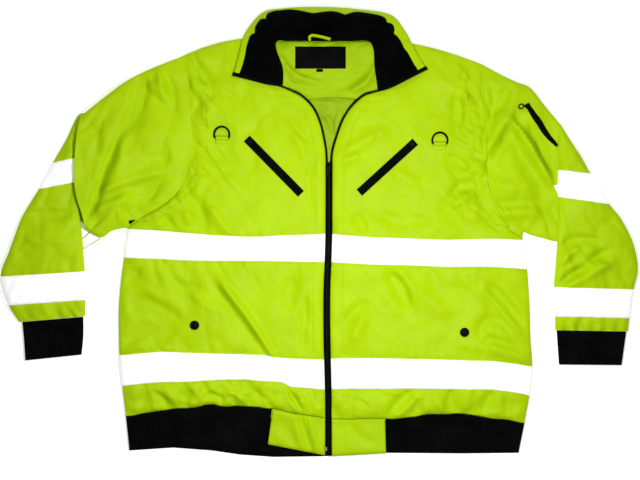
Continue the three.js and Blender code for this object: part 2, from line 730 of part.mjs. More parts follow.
function tag({ x, y, width, height, thickness }, grids) {
  const places = ribbonPlaces(straight([x - width / 2, y], [x + width / 2, y], 4), height, 2);
  return laid(places, grids, thickness, 4).geometry;
}
piece("neck_label", tag(NECK_LABEL, [facing]), BLACK_ZIP);
piece("size_tab", tag(SIZE_TAB, [facing]), BLACK_ZIP);

// Collar: a shell with the fleece on it. It lies on the fronts at its ends and arches behind the neck.
const restFaces = [...frontFaces, back.top, facing];

function collarAt(s, t) {
  const row = rowAt(COLLAR_ROWS, s);
  return { row, x: lerp(row.nx, row.ex, t), y: lerp(row.ny, row.ey, t) };
}

function collarUnder(s, t) {
  const { row, x, y } = collarAt(s, t);
  const neck = restOn(restFaces, row.nx, row.ny, 4) + COLLAR_HEIGHT.restGap;
  const edgeRest = restOn(restFaces, row.ex, row.ey, 4) + COLLAR_HEIGHT.restGap;
  const edge = Math.max(edgeRest, COLLAR_HEIGHT.outerEdge);
  const arched = lerp(neck, edge, t) + row.arch * Math.sin(Math.PI * t);
  return [x, y, Math.max(arched, restOn(restFaces, x, y, 8) + COLLAR_HEIGHT.restGap)];
}

function collarGrid(shareOf, steps, raise) {
  const last = COLLAR_ROWS.length - 1;
  return Array.from({ length: COLLAR_STEPS.around + 1 }, (_, i) => {
    const s = (i / COLLAR_STEPS.around) * last;
    return Array.from({ length: steps + 1 }, (_, k) => {
      const share = (k / steps) * shareOf(s);
      const [x, y, z] = collarUnder(s, share);
      return [x, y, z + raise];
    });
  });
}

function wholeDepth() {
  return 1;
}
const shellUnder = collarGrid(wholeDepth, COLLAR_STEPS.shell, 0);
const shellFace = collarGrid(wholeDepth, COLLAR_STEPS.shell, COLLAR.shell);
piece("collar_shell", slab(shellFace, shellUnder), YELLOW);

const fleeceUnder = collarGrid((s) => rowAt(COLLAR_ROWS, s).fleece, COLLAR_STEPS.fleece, 0).map((row) =>
  row.map(([x, y]) => [x, y, restOn([shellFace], x, y, 4) + 3 * GAP]),
);
const fleeceFace = fleeceUnder.map((row) => row.map(([x, y, z]) => [x, y, z + COLLAR.fleece]));
piece("collar_fleece", slab(fleeceFace, fleeceUnder), BLACK_FLEECE);

const hangLoop = laid(
  ribbonPlaces(HANG_LOOP.points, HANG_LOOP.width),
  [fleeceFace, facing, back.top],
  HANG_LOOP.thickness,
  2,
  HANG_LOOP.lift,
);
piece("hang_loop", hangLoop.geometry, YELLOW);

// Sleeves: flattened padded tubes, each an upper and a lower length that meet at the elbow fold.
const RING_POINTS = 12;
const RING_SHARES = Array.from(
  { length: RING_POINTS },
  (_, k) => (1 - Math.cos((Math.PI * k) / (RING_POINTS - 1))) / 2,
);
const TAPE_EDGE_STEP = 0.05;

// How far the armhole's curve stands off the straight line between its ends.
function armholeBend(rows, t) {
  const [first, at, last] = [0, t * ARMPIT_ROW, ARMPIT_ROW].map((s) => rowAt(rows, s));
  return [at.ox - lerp(first.ox, last.ox, t), at.oy - lerp(first.oy, last.oy, t)];
}

function ringAt(stations, frontRows, s, taped, offEdge) {
  const ring = rowAt(stations, s);
  const width = Math.hypot(ring.ox - ring.ix, ring.oy - ring.iy);
  const recess = taped ? TAPE.recess : 0;
  const middle = ring.high * SLEEVE_WALL.middle;
  const place = (t) => {
    const [bx, by] = ring.bend ? armholeBend(frontRows, t).map((b) => b * ring.bend) : [0, 0];
    return [lerp(ring.ox, ring.ix, t) + bx + offEdge[0], lerp(ring.oy, ring.iy, t) + by + offEdge[1]];
  };
  const topZ = (t, x, y) => {
    const toEdge = Math.min(t, 1 - t) * width;
    const crown = 0.84 + 0.16 * Math.sin(Math.PI * t);
    const full = ring.high * crown + foldRelief(x, y) * Math.min(s, 1) * fullness(toEdge, 30);
    return middle + (full - middle) * fullness(toEdge, SLEEVE_WALL.topRound);
  };
  const bottomZ = (t) => {
    const toEdge = Math.min(t, 1 - t) * width;
    return Math.max(middle * (1 - fullness(toEdge, SLEEVE_WALL.bottomRound)), recess);
  };
  const wallShare = Math.min(0.3, SLEEVE_WALL.side / width);
  const outer = [];
  const inner = [];
  const visit = (t, upper) => {
    const [x, y] = place(t);
    const within = lerp(wallShare, 1 - wallShare, t);
    const [ix, iy] = place(within);
    const atEdge = t === 0 || t === 1;
    const halfSlit = atEdge ? 0 : SLEEVE_WALL.slit / 2;
    outer.push([x, y, upper ? topZ(t, x, y) : bottomZ(t)]);
    inner.push([ix, iy, middle + (upper ? halfSlit : -halfSlit)]);
  };
  RING_SHARES.forEach((t) => visit(t, true));
  RING_SHARES.slice(1, -1).reverse().forEach((t) => visit(t, false));
  return { outer, inner };
}

// Ring positions along a length of sleeve, with a close pair at each edge of a tape.
function ringSteps(stations, between) {
  const steps = [];
  stations.forEach((station, i) => {
    if (station.tape && !stations[i - 1].tape) steps.push({ s: i - TAPE_EDGE_STEP, taped: false });
    steps.push({ s: i, taped: Boolean(station.tape) });
    if (station.tape && !stations[i + 1].tape) steps.push({ s: i + TAPE_EDGE_STEP, taped: false });
    if (between && i < 1) steps.push({ s: i + 0.5, taped: false });
  });
  return steps;
}

const ARMHOLE_CLEAR = 0.9;
const INNER_RING_EVERY = 3;

function sleeveLength(stations, frontRows, steps, offEdge) {
  const rings = steps.map(({ s, taped }) => ringAt(stations, frontRows, s, taped, offEdge));
  const inner = rings.filter((_, i) => i % INNER_RING_EVERY === 0).map((ring) => ring.inner);
  return { rings, geometry: tube(rings.map((ring) => ring.outer), inner, true) };
}

// A tape round a sleeve: a strip of the ring's points moved out, from one ring place to another.
function ringTape(rings, fromPlace, toPlace, endX) {
  const around = rings[0].outer.length;
  const out = (ring, k, by) => {
    const at = (i) => ring.outer[((i % around) + around) % around];
    const [x, y, z] = at(k);
    const [before, after] = [at(k - 1), at(k + 1)];
    const side = [ring.outer[0][0] - ring.outer[around / 2][0], ring.outer[0][1] - ring.outer[around / 2][1]];
    const width = Math.hypot(...side);
    const along = (p) => (p[0] * side[0] + p[1] * side[1]) / width;
    const run = along(after) - along(before);
    const rise = after[2] - before[2];
    const length = Math.hypot(run, rise);
    const [outwards, up] = [rise / length, -run / length];
    return [x + (side[0] / width) * outwards * by, y + (side[1] / width) * outwards * by, z + up * by];
  };
  const grid = (by) => {
    const places = Array.from({ length: toPlace - fromPlace + 1 }, (_, i) => fromPlace + i);
    return rings.map((ring) => {
      const points = places.map((k) => out(ring, k, by));
      if (endX === undefined) return points;
      const toEnd = (p, q) => q.map((v, i) => lerp(v, p[i], (endX - q[0]) / (p[0] - q[0])));
      const [first, last] = [points[0], points[points.length - 1]];
      points[0] = toEnd(first, points[1]);
      points[points.length - 1] = toEnd(last, points[points.length - 2]);
      return points;
    });
  };
  return slab(grid(GAP + TAPE.thickness), grid(GAP));
}

// A whole tape round a sleeve, closed on itself.
function closedTape(rings) {
  const around = rings[0].outer.length;
  const middle = rings.map((ring) => {
    const sum = ring.outer.reduce((a, p) => [a[0] + p[0], a[1] + p[1], a[2] + p[2]], [0, 0, 0]);
    return sum.map((v) => v / around);
  });
  const grown = (by) =>
    rings.map((ring, v) => {
      const edge = ring.outer[0];
      const far = ring.outer[around / 2];
      const width = Math.hypot(edge[0] - far[0], edge[1] - far[1]);
      const stretch = 1 + (2 * by) / width;
      return ring.outer.map(([x, y, z], k) => {
        const upper = k > 0 && k < around / 2;
        const lower = k > around / 2;
        const lift = upper ? by : lower ? -by : 0;
        return [
          middle[v][0] + (x - middle[v][0]) * stretch,
          middle[v][1] + (y - middle[v][1]) * stretch,
          z + lift,
        ];
      });
    });
  return tube(grown(GAP + TAPE.thickness), grown(GAP), false);
}

function prism(points, thickness, z) {
  const shape = new THREE.Shape(points.map(([x, y]) => new THREE.Vector2(x, y)));
  const geometry = new THREE.ExtrudeGeometry(shape, { depth: thickness, bevelEnabled: false });
  geometry.translate(0, 0, z);
  return geometry;
}

// Where the right upper sleeve folds over its lower length, at the upper tape.
const FOLD_X = -420;

function makeSleeve(side, upperStations, lowerStations, frontRows, extra) {
  const sign = SIDES[side].sign;
  const upperSteps = ringSteps(upperStations, true);
  const upper = sleeveLength(upperStations, frontRows, upperSteps, [sign * ARMHOLE_CLEAR, ARMHOLE_CLEAR]);
  const lowerSteps = ringSteps(lowerStations, false).reverse();
  const lower = sleeveLength(lowerStations, frontRows, lowerSteps, [0, 0]);
  const around = upper.rings[0].outer.length;
  piece(`sleeve_${side}`, joined(upper.geometry, lower.geometry, ...extra), YELLOW);
  const ringsOf = (span) =>
    lowerSteps.flatMap(({ s }, i) => (s >= span[0] && s <= span[1] ? [lower.rings[i]] : []));
  const tapes = ARM_TAPES[side];
  // The upper tape stops where the upper length of the sleeve meets it.
  const stop = side === "right" ? [3 - around / 2, around / 2 - 3, FOLD_X] : [3 - around / 2, around / 2 - 1];
  piece(`tape_arm_upper_${side}`, ringTape(ringsOf(tapes.upper), ...stop), SILVER_TAPE);
  piece(`tape_arm_lower_${side}`, closedTape(ringsOf(tapes.lower)), SILVER_TAPE);
  const topOf = (rings) => rings.map((ring) => ring.outer.slice(0, RING_POINTS));
  return { upperTop: topOf(upper.rings), lowerTop: topOf(lower.rings) };
}

const elbowCorner = prism(ELBOW_CORNER.points, ELBOW_CORNER.thickness, 0);
const rightSleeve = makeSleeve("right", RIGHT_UPPER_SLEEVE, RIGHT_LOWER_SLEEVE, RIGHT_FRONT, [elbowCorner]);
const leftSleeve = makeSleeve("left", LEFT_UPPER_SLEEVE, LEFT_LOWER_SLEEVE, LEFT_FRONT, []);
const elbowTapeZ = ELBOW_CORNER.thickness + GAP;
piece("tape_elbow_right", prism(ELBOW_TAPE.points, ELBOW_TAPE.thickness, elbowTapeZ), SILVER_TAPE);

// Cuffs
function makeCuff(side, stations) {
  const rings = [0, 1, 2].map((s) => {
    const ring = rowAt(stations, s);
    const width = Math.hypot(ring.ox - ring.ix, ring.oy - ring.iy);
    const middle = CUFF.high / 2;
    const point = (t, upper) => {
      const toEdge = Math.min(t, 1 - t) * width;
      const half = middle * fullness(toEdge, middle);
      return [lerp(ring.ox, ring.ix, t), lerp(ring.oy, ring.iy, t), middle + (upper ? half : -half)];
    };
    const inset = CUFF.side / width;
    const inside = (t, upper) => {
      const [x, y] = point(lerp(inset, 1 - inset, t), true);
      const halfSlit = t === 0 || t === 1 ? 0 : CUFF.slit / 2;
      return [x, y, middle + (upper ? halfSlit : -halfSlit)];
    };
    const shares = [0, 0.02, 0.07, 0.3, 0.7, 0.93, 0.98, 1];
    const way = (pointAt) => [
      ...shares.map((t) => pointAt(t, true)),
      ...shares.slice(1, -1).reverse().map((t) => pointAt(t, false)),
    ];
    return { outer: way(point), inner: way(inside) };
  });
  const outer = rings.map((ring) => ring.outer);
  const inner = rings.map((ring) => ring.inner);
  piece(`cuff_${side}`, tube(outer, inner, false), BLACK_RIB);
}
makeCuff("right", RIGHT_CUFF);
makeCuff("left", LEFT_CUFF);

// Waist: rib lengths and plain tabs, from the panels' lower edges to the jacket's hem
function band(topEdge, bottomEdge, rows, below, thickness, round) {
  const places = topEdge.map((p, i) => straight(p, bottomEdge[i], rows));
  const last = places.length - 1;
  const lengthTo = (i, end) => Math.hypot(places[i][0][0] - places[end][0][0], places[i][0][1] - places[end][0][1]);
  const fullAt = (i, k) => {
    const toEnd = Math.min(lengthTo(i, 0), lengthTo(i, last));
    const hem = fullness((1 - k / rows) * 60, round);
    return 0.55 + 0.45 * fullness(toEnd, round) * hem;
  };
  const lowAt = (x, y) => (below ? Math.max(FRONT_HEM_LOW, restOn([back.top], x, y, 4) + GAP) : 0);
  const bottom = places.map((column) => column.map(([x, y]) => [x, y, lowAt(x, y)]));
  const top = bottom.map((column, i) => column.map(([x, y, z], k) => [x, y, z + thickness * fullAt(i, k)]));
  return slab(top, bottom);
}

const ribHem = (x) => readBy(RIB_HEM, "x", "y", x);
const backHem = Array.from({ length: 17 }, (_, i) => {
  const { x, y } = backAt(LAST_ROW, i / 16);
  return [x, y - GAP];
});
const ribInset = (x) => lerp(-325, 343, (x + 331) / (353 + 331));
const backRibBottom = backHem.map(([x]) => [ribInset(x), ribHem(ribInset(x))]);
piece("waist_rib_back", band(backHem, backRibBottom, 3, false, RIB.thickness, RIB.round), BLACK_RIB);

const FRONT_HEM_LOW = RIB.thickness + GAP;
function frontHem(rows, from, to, steps) {
  return straight([from, 0], [to, 0], steps).map(([w]) => {
    const { x, y } = frontAt(rows, LAST_ROW, w);
    return [x, y - GAP];
  });
}

for (const [side, { rows, sign }] of Object.entries(SIDES)) {
  const tab = HEM_TABS[side];
  const tabTop = frontHem(rows, 0, tab.share, 4);
  const tabBottom = straight(tab.inner, tab.outer, 4);
  piece(`hem_tab_${side}`, band(tabTop, tabBottom, 3, true, HEM_TAB.thickness, RIB.round), YELLOW);
  const ribTop = frontHem(rows, tab.share + 0.004, 1, 12);
  const outerEnd = ribInset(rows[LAST_ROW].ox);
  const ribFoot = tab.outer[0] + sign * TAB_SPLAY;
  const ribBottom = ribTop.map((_, i) => {
    const x = lerp(ribFoot, outerEnd, i / 12);
    return [x, ribHem(x) + FRONT_RIB_RISE];
  });
  piece(`waist_rib_${side}`, band(ribTop, ribBottom, 3, true, RIB.thickness, RIB.round), BLACK_RIB);
}

// Centre zip: each half runs beside its front's edge, then along the collar's front end
function zipHalf(side) {
  const { rows, sign } = SIDES[side];
  const inwards = -sign * (GAP + ZIP.half / 2);
  const path = [];
  const tab = HEM_TABS[side];
  path.push([tab.inner[0] + inwards, tab.inner[1] + 0.5, FRONT_HEM_LOW + GAP]);
  path.push([tab.inner[0] + inwards, tab.inner[1] + 30, FRONT_HEM_LOW + GAP]);
  for (let s = LAST_ROW; s >= 4.5; s -= s > 9 ? 1 : 0.5) {
    const p = frontAt(rows, s, 0);
    const [above, below] = [frontAt(rows, s - 0.3, 0), frontAt(rows, Math.min(s + 0.3, LAST_ROW), 0)];
    const length = Math.hypot(above.x - below.x, above.y - below.y);
    const normal = [(above.y - below.y) / length, -(above.x - below.x) / length];
    const off = -sign * (GAP + ZIP.half / 2);
    const climb = 1 - smoothstep(s, 4.5, 6.5);
    path.push([p.x + normal[0] * off, p.y + normal[1] * off, lerp(p.low + GAP, ZIP.climb, climb)]);
  }
  const end = COLLAR_ROWS[side === "right" ? 0 : COLLAR_ROWS.length - 1];
  const length = Math.hypot(end.ex - end.nx, end.ey - end.ny);
  const along = [(end.ex - end.nx) / length, (end.ey - end.ny) / length];
  const down = along[0] * sign > 0 ? [along[1] * sign, -along[0] * sign] : [0, 0];
  const beside = 1.9 + ZIP.half / 2;
  for (const share of [0.02, 0.12, 0.26, 0.4, 0.55, 0.7, 0.85, 1]) {
    const [x, y] = [lerp(end.nx, end.ex, share), lerp(end.ny, end.ey, share)];
    path.push([x + down[0] * beside, y + down[1] * beside, ZIP.climb]);
  }
  const places = ribbonPlaces(path.map(([x, y]) => [x, y]), ZIP.half);
  const firstOnFront = path.length - 9;
  const bottom = places.map((row, i) => {
    const reach = i > firstOnFront ? 2 : 0;
    const own = path[i][2];
    return row.map(([x, y]) => [x, y, Math.max(own, restOn([fronts[side].top], x, y, reach) + GAP + 0.2)]);
  });
  const top = bottom.map((row) => row.map(([x, y, z]) => [x, y, z + ZIP.thickness]));
  piece(`zip_${side}`, slab(top, bottom), BLACK_ZIP);
  return top;
}
const zipTops = [zipHalf("right"), zipHalf("left")];

// Sliders and pulls. Each is made about its hinge pin: the pin along X, the pull hanging along -Y.
function block(width, length, height, x, y, z) {
  const geometry = new THREE.BoxGeometry(width, length, height);
  geometry.translate(x, y, z);
  return geometry;
}

function pinSlider({ width, length, plate }) {
  const lug = { width: 1.2, length: 3.2, height: PIN.above + 1, x: 3.1 };
  const body = block(width, length, plate, 0, -length / 2 + 4, -PIN.above - plate / 2);
  const lugs = [-1, 1].map((hand) => {
    const z = -PIN.above - 0.4 + lug.height / 2;
    return block(lug.width, lug.length, lug.height, hand * lug.x, 0, z);
  });
  const pin = new THREE.CylinderGeometry(PIN.radius, PIN.radius, 2 * lug.x, 12);
  pin.rotateZ(Math.PI / 2);
  return joined(body, ...lugs, pin);
}

const EYE_WIDTH = 4.2;
const PULL_THICKNESS = 1.2;

function pinPull(outline, hole) {
  const eye = new THREE.Shape();
  eye.absarc(0, 0, PIN.eye, 0, 2 * Math.PI, false);
  const bore = new THREE.Path();
  bore.absarc(0, 0, PIN.hole, 0, 2 * Math.PI, true);
  eye.holes.push(bore);
  const ring = new THREE.ExtrudeGeometry(eye, { depth: EYE_WIDTH, bevelEnabled: false, curveSegments: 8 });
  ring.rotateY(Math.PI / 2);
  ring.translate(-EYE_WIDTH / 2, 0, 0);
  const shape = new THREE.Shape(outline.map(([x, y]) => new THREE.Vector2(x, y)));
  if (hole) {
    const opening = new THREE.Path();
    opening.absarc(hole.x, hole.y, hole.radius, 0, 2 * Math.PI, true);
    shape.holes.push(opening);
  }
  const pressed = { depth: PULL_THICKNESS, bevelEnabled: false, curveSegments: 8 };
  const plate = new THREE.ExtrudeGeometry(shape, pressed);
  plate.translate(0, 0, -PIN.eye);
  return joined(ring, plate);
}

function placed(x, y, z, turn) {
  const group = new THREE.Group();
  group.position.set(x, y, z);
  group.rotation.z = degToRad(turn);
  jacket.add(group);
  return group;
}

const zipFace = restOn(zipTops, SLIDER.x, SLIDER.y, 3) + GAP;
const sliderPin = { x: SLIDER.x, y: SLIDER.y, z: zipFace + SLIDER.plate + PIN.above };
const sliderGroup = placed(sliderPin.x, sliderPin.y, sliderPin.z, 0);
piece("zip_slider", pinSlider(SLIDER), BLACK_METAL, sliderGroup);
const PULL_OUTLINE = [
  [2.1, -1.5],
  [-2.1, -1.5],
  [-2.1, -3.7],
  [-3.8, -7],
  [-6.6, -17.5],
  [-5.6, -19.5],
  [-0.6, -20.6],
  [0.6, -19],
  [2.1, -3.7],
];
piece("zip_pull", pinPull(PULL_OUTLINE), BLACK_METAL, sliderGroup);

const retainerZ = restOn(zipTops, RETAINER.x, RETAINER.y, 3) + GAP;
piece(
  "zip_retainer",
  block(
    RETAINER.width, RETAINER.length, RETAINER.height, RETAINER.x, RETAINER.y, retainerZ + RETAINER.height / 2,
  ),
  BRIGHT_METAL,
);

for (const side of Object.keys(SIDES)) {
  const { zip } = fronts[side];
  const [[x, y], [bx, by]] = CHEST_ZIP_ENDS[side];
  const turn = Math.atan2(by - y, bx - x);
  const [sx, sy] = [x + Math.cos(turn) * 7, y + Math.sin(turn) * 7];
  const height = 2.4;
  const slider = block(9, 8, height, 0, 0, height / 2);
  slider.rotateZ(turn);
  slider.translate(sx, sy, restOn([zip.top], sx, sy, 4) + GAP);
  piece(`chest_slider_${side}`, slider, BLACK_METAL);
}

// Zip of the left sleeve's pocket, with a ring pull
const sleeveFaces = [leftSleeve.upperTop, leftSleeve.lowerTop];
const sleeveZip = laid(
  ribbonPlaces(SLEEVE_ZIP_LINE, SLEEVE_ZIP.width, 2),
  sleeveFaces,
  SLEEVE_ZIP.thickness,
  3,
);
piece("sleeve_zip", sleeveZip.geometry, BLACK_ZIP);
const sleeveSliderRest = restOn([sleeveZip.top, leftSleeve.upperTop], SLEEVE_SLIDER.x, SLEEVE_SLIDER.y, 6);
const sleeveSliderFace = sleeveSliderRest + GAP;
const sleevePin = {
  x: SLEEVE_SLIDER.x,
  y: SLEEVE_SLIDER.y,
  z: sleeveSliderFace + SLEEVE_SLIDER.plate + PIN.above,
};
const sleeveSliderGroup = placed(sleevePin.x, sleevePin.y, sleevePin.z, SLEEVE_SLIDER.turn);
piece("sleeve_slider", pinSlider(SLEEVE_SLIDER), BLACK_METAL, sleeveSliderGroup);
const RING_PULL = { reach: 12, radius: 5, hole: 3, neck: 1.7 };
const ringOutline = [[-2.1, -1.5], [-RING_PULL.neck, -4]];
for (let i = 0; i <= 10; i++) {
  const angle = degToRad(110 + i * 32);
  const x = RING_PULL.radius * Math.cos(angle);
  ringOutline.push([x, -RING_PULL.reach + RING_PULL.radius * Math.sin(angle)]);
}
ringOutline.push([RING_PULL.neck, -4], [2.1, -1.5]);
const ringHole = { x: 0, y: -RING_PULL.reach, radius: RING_PULL.hole };
piece("sleeve_pull", pinPull(ringOutline, ringHole), BLACK_METAL, sleeveSliderGroup);

// D-rings, each with its bar in a sewn loop
function wireRing(path, radius, sides) {
  const rings = path.map(([x, y], i) => {
    const [ax, ay] = path[(i + path.length - 1) % path.length];
    const [bx, by] = path[(i + 1) % path.length];
    const length = Math.hypot(bx - ax, by - ay);
    const [nx, ny] = [(by - ay) / length, -(bx - ax) / length];
    return Array.from({ length: sides }, (_, k) => {
      const angle = (2 * Math.PI * k) / sides;
      const out = radius * Math.cos(angle);
      return [x + nx * out, y + ny * out, radius * Math.sin(angle)];
    });
  });
  const index = [];
  const at = (v, k) => (v % path.length) * sides + (k % sides);
  for (let v = 0; v < path.length; v++) {
    for (let k = 0; k < sides; k++) pushQuad(index, at(v, k), at(v + 1, k), at(v + 1, k + 1), at(v, k + 1));
  }
  return geometryOf(rings.flat(), index);
}

function arc(x, y, radius, from, to, steps) {
  return Array.from({ length: steps + 1 }, (_, i) => {
    const angle = degToRad(lerp(from, to, i / steps));
    return [x + radius * Math.cos(angle), y + radius * Math.sin(angle)];
  });
}

function dRingPath({ halfWidth, side, corner }) {
  return [
    ...arc(halfWidth - corner, corner, corner, -90, 0, 2),
    ...arc(0, side, halfWidth, 0, 180, 8),
    ...arc(corner - halfWidth, corner, corner, 180, 270, 2),
  ];
}

function loopGeometry({ width, hole, wall, tail, floor, strap }) {
  const outer = hole + wall;
  const shape = new THREE.Shape();
  shape.moveTo(-tail, -floor);
  shape.lineTo(outer, -floor);
  shape.lineTo(outer, 0);
  shape.absarc(0, 0, outer, 0, Math.PI, false);
  shape.lineTo(-outer - 2.4, -floor + strap);
  shape.lineTo(-tail, -floor + strap);
  const bore = new THREE.Path();
  bore.absarc(0, 0, hole, 0, 2 * Math.PI, true);
  shape.holes.push(bore);
  const drawn = { depth: width, bevelEnabled: false, curveSegments: 6 };
  const geometry = new THREE.ExtrudeGeometry(shape, drawn);
  const turn = new THREE.Matrix4();
  turn.makeBasis(new THREE.Vector3(0, 1, 0), new THREE.Vector3(0, 0, 1), new THREE.Vector3(1, 0, 0));
  geometry.applyMatrix4(turn);
  geometry.translate(-width / 2, 0, 0);
  return geometry;
}

for (const [side, [x, y]] of Object.entries(D_RING_BARS)) {
  const half = D_RING_LOOP.width / 2;
  const top = y + 3;
  const foot = y - 11;
  const corners = [[x - half, top], [x + half, top], [x + half, foot], [x - half, foot]];
  const footprint = patchPlaces(corners, 5, 5);
  const under = Math.max(...footprint.flat().map(([px, py]) => restOn([fronts[side].top], px, py, 0)));
  const z = under + GAP + D_RING_LOOP.floor;
  const group = placed(x, y, z, 0);
  piece(`d_ring_${side}`, wireRing(dRingPath(D_RING), D_RING.wire, 6), BLACK_METAL, group);
  piece(`d_ring_loop_${side}`, loopGeometry(D_RING_LOOP), YELLOW, group);
}

// Snaps on the pocket welts
for (const [side, [x, y]] of Object.entries(SNAP_CENTRES)) {
  const { radius, height } = SNAP;
  const profile = [[0, 0], [radius, 0], [radius, height * 0.4], [radius * 0.8, height * 0.9], [0, height]];
  const geometry = new THREE.LatheGeometry(profile.map(([r, h]) => new THREE.Vector2(r, h)), 20);
  geometry.rotateX(Math.PI / 2);
  const z = restOn([fronts[side].welt.top, fronts[side].top], x, y, radius) + GAP;
  const snap = piece(`snap_${side}`, geometry, BLACK_METAL);
  snap.position.set(x, y, z);
}

// The dark end of the sleeve's joining zip at the right armpit
const zipEndPlaces = patchPlaces(ARMPIT_ZIP_END.points, 2, 2);
const zipEndRest = [fronts.right.top, rightSleeve.upperTop];
const zipEnd = laid(zipEndPlaces, zipEndRest, ARMPIT_ZIP_END.thickness, 3, 2 * GAP);
piece("armhole_zip_end", zipEnd.geometry, BLACK_ZIP);

export default jacket;
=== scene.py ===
import json
import math

import bpy
import numpy as np
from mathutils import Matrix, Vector
from mathutils.bvhtree import BVHTree


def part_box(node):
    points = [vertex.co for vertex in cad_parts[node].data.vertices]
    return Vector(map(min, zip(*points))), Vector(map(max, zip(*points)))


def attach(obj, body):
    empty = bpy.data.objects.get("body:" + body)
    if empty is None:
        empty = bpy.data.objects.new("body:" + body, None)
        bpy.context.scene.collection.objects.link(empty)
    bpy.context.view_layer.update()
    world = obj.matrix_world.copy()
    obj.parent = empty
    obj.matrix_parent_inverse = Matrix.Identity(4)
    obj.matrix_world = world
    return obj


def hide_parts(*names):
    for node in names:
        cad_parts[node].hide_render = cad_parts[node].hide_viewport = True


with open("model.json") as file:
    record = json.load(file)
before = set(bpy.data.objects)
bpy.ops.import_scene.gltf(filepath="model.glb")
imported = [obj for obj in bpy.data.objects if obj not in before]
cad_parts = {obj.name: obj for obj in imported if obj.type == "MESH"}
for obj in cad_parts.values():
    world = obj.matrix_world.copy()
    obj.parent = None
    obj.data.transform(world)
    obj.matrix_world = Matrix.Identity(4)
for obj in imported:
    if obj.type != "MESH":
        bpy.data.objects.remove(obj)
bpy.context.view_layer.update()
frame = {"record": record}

MM = 0.001
# The middle of the solids' box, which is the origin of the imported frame
MIDDLE = (0.451, 1.769)
GAP = 0.3
ROW_PITCH = 24
LAST_ROW = 22
ARMPIT_ROW = 14
SIDES = ("right", "left")
SIGN = {"right": -1, "left": 1}

# Camera: straight above, 1.72 mm of the jacket to a pixel of a 640 by 480 frame
MM_PER_PIXEL = 1.72
FRAME_WIDTH_PX = 640
VIEW_CENTRE_PX = (320.0, 240.0)
ORIGIN_PX = (318.5, 233.0)
CAMERA_HEIGHT = 5.0
SENSOR = 36.0


# A table: its column names, then its rows
def columns(names, *rows):
    values = np.array(rows, dtype=float)
    return {name: values[:, i] for i, name in enumerate(names.split())}


# Rows of the fronts from the shoulder down to the waist rib: the neck or zip edge (ix, iy), the armhole
# or side edge (ox, oy), and how far the row bows up at its middle
FRONT = {
    "right": columns(
        "ix iy ox oy bow",
        (-73, 334, -235, 303, 12),
        (-71, 311, -226, 280, 4),
        (-63, 287, -219, 249, 0),
        (-61, 263, -216, 224, 0),
        (-54, 249, -214, 201, 0),
        (-28, 233, -213, 179, 0),
        (-9.5, 213, -213, 156, 0),
        (1.7, 188, -215, 134, 0),
        (7.7, 163, -219, 112, 0),
        (11.7, 138, -226, 89, 0),
        (12.2, 112, -240, 69, 0),
        (12.2, 84, -261, 50, 0),
        (12.2, 57, -288, 34, -1),
        (12, 27, -313, 20, -3),
        (11.8, -2, -326, 7, -6),
        (10.4, -50, -334, -42, -4),
        (8.8, -89, -340, -88, 0),
        (8.3, -132, -343, -129, 0),
        (8.6, -175, -343, -170, 4),
        (9.5, -217, -342, -210, 7),
        (10.8, -268, -337, -263, 10),
        (11.2, -294, -334, -289, 9),
        (11.2, -320, -331, -314, 8),
    ),
    "left": columns(
        "ix iy ox oy bow",
        (95, 334, 279, 290, 8),
        (95, 311, 279, 260, 3),
        (94, 287, 278, 232, 0),
        (97, 263, 279, 208, 0),
        (100, 244, 282, 186, 0),
        (78, 235, 284, 163, 0),
        (57, 216, 285, 141, 0),
        (43, 194, 285, 120, 0),
        (33, 167, 286, 100, 0),
        (24.9, 138, 288, 79, 0),
        (23.9, 112, 294, 59, 0),
        (23.9, 84, 304, 38, 0),
        (23.9, 57, 317, 19, 0),
        (23.8, 27, 332, 3, -1),
        (23.6, -2, 350, -12, -3),
        (22.2, -50, 358, -62, 0),
        (20.5, -89, 361, -100, 0),
        (20, -132, 363, -136, 0),
        (20.3, -174, 364, -179, 4),
        (21.2, -216, 367, -230, 7),
        (22.4, -268, 362, -280, 7),
        (22.5, -294, 358, -303, 9),
        (22.7, -321, 354, -326, 12),
    ),
}
# How far the back's top edge rises above a straight line between the shoulders
BACK_TOP_EDGE = columns(
    "share rise",
    (0, 0),
    (0.07, 17),
    (0.2, 33),
    (0.31, 38),
    (0.4, 34),
    (0.56, 36),
    (0.64, 41),
    (0.76, 34),
    (0.89, 17),
    (1, 0),
)
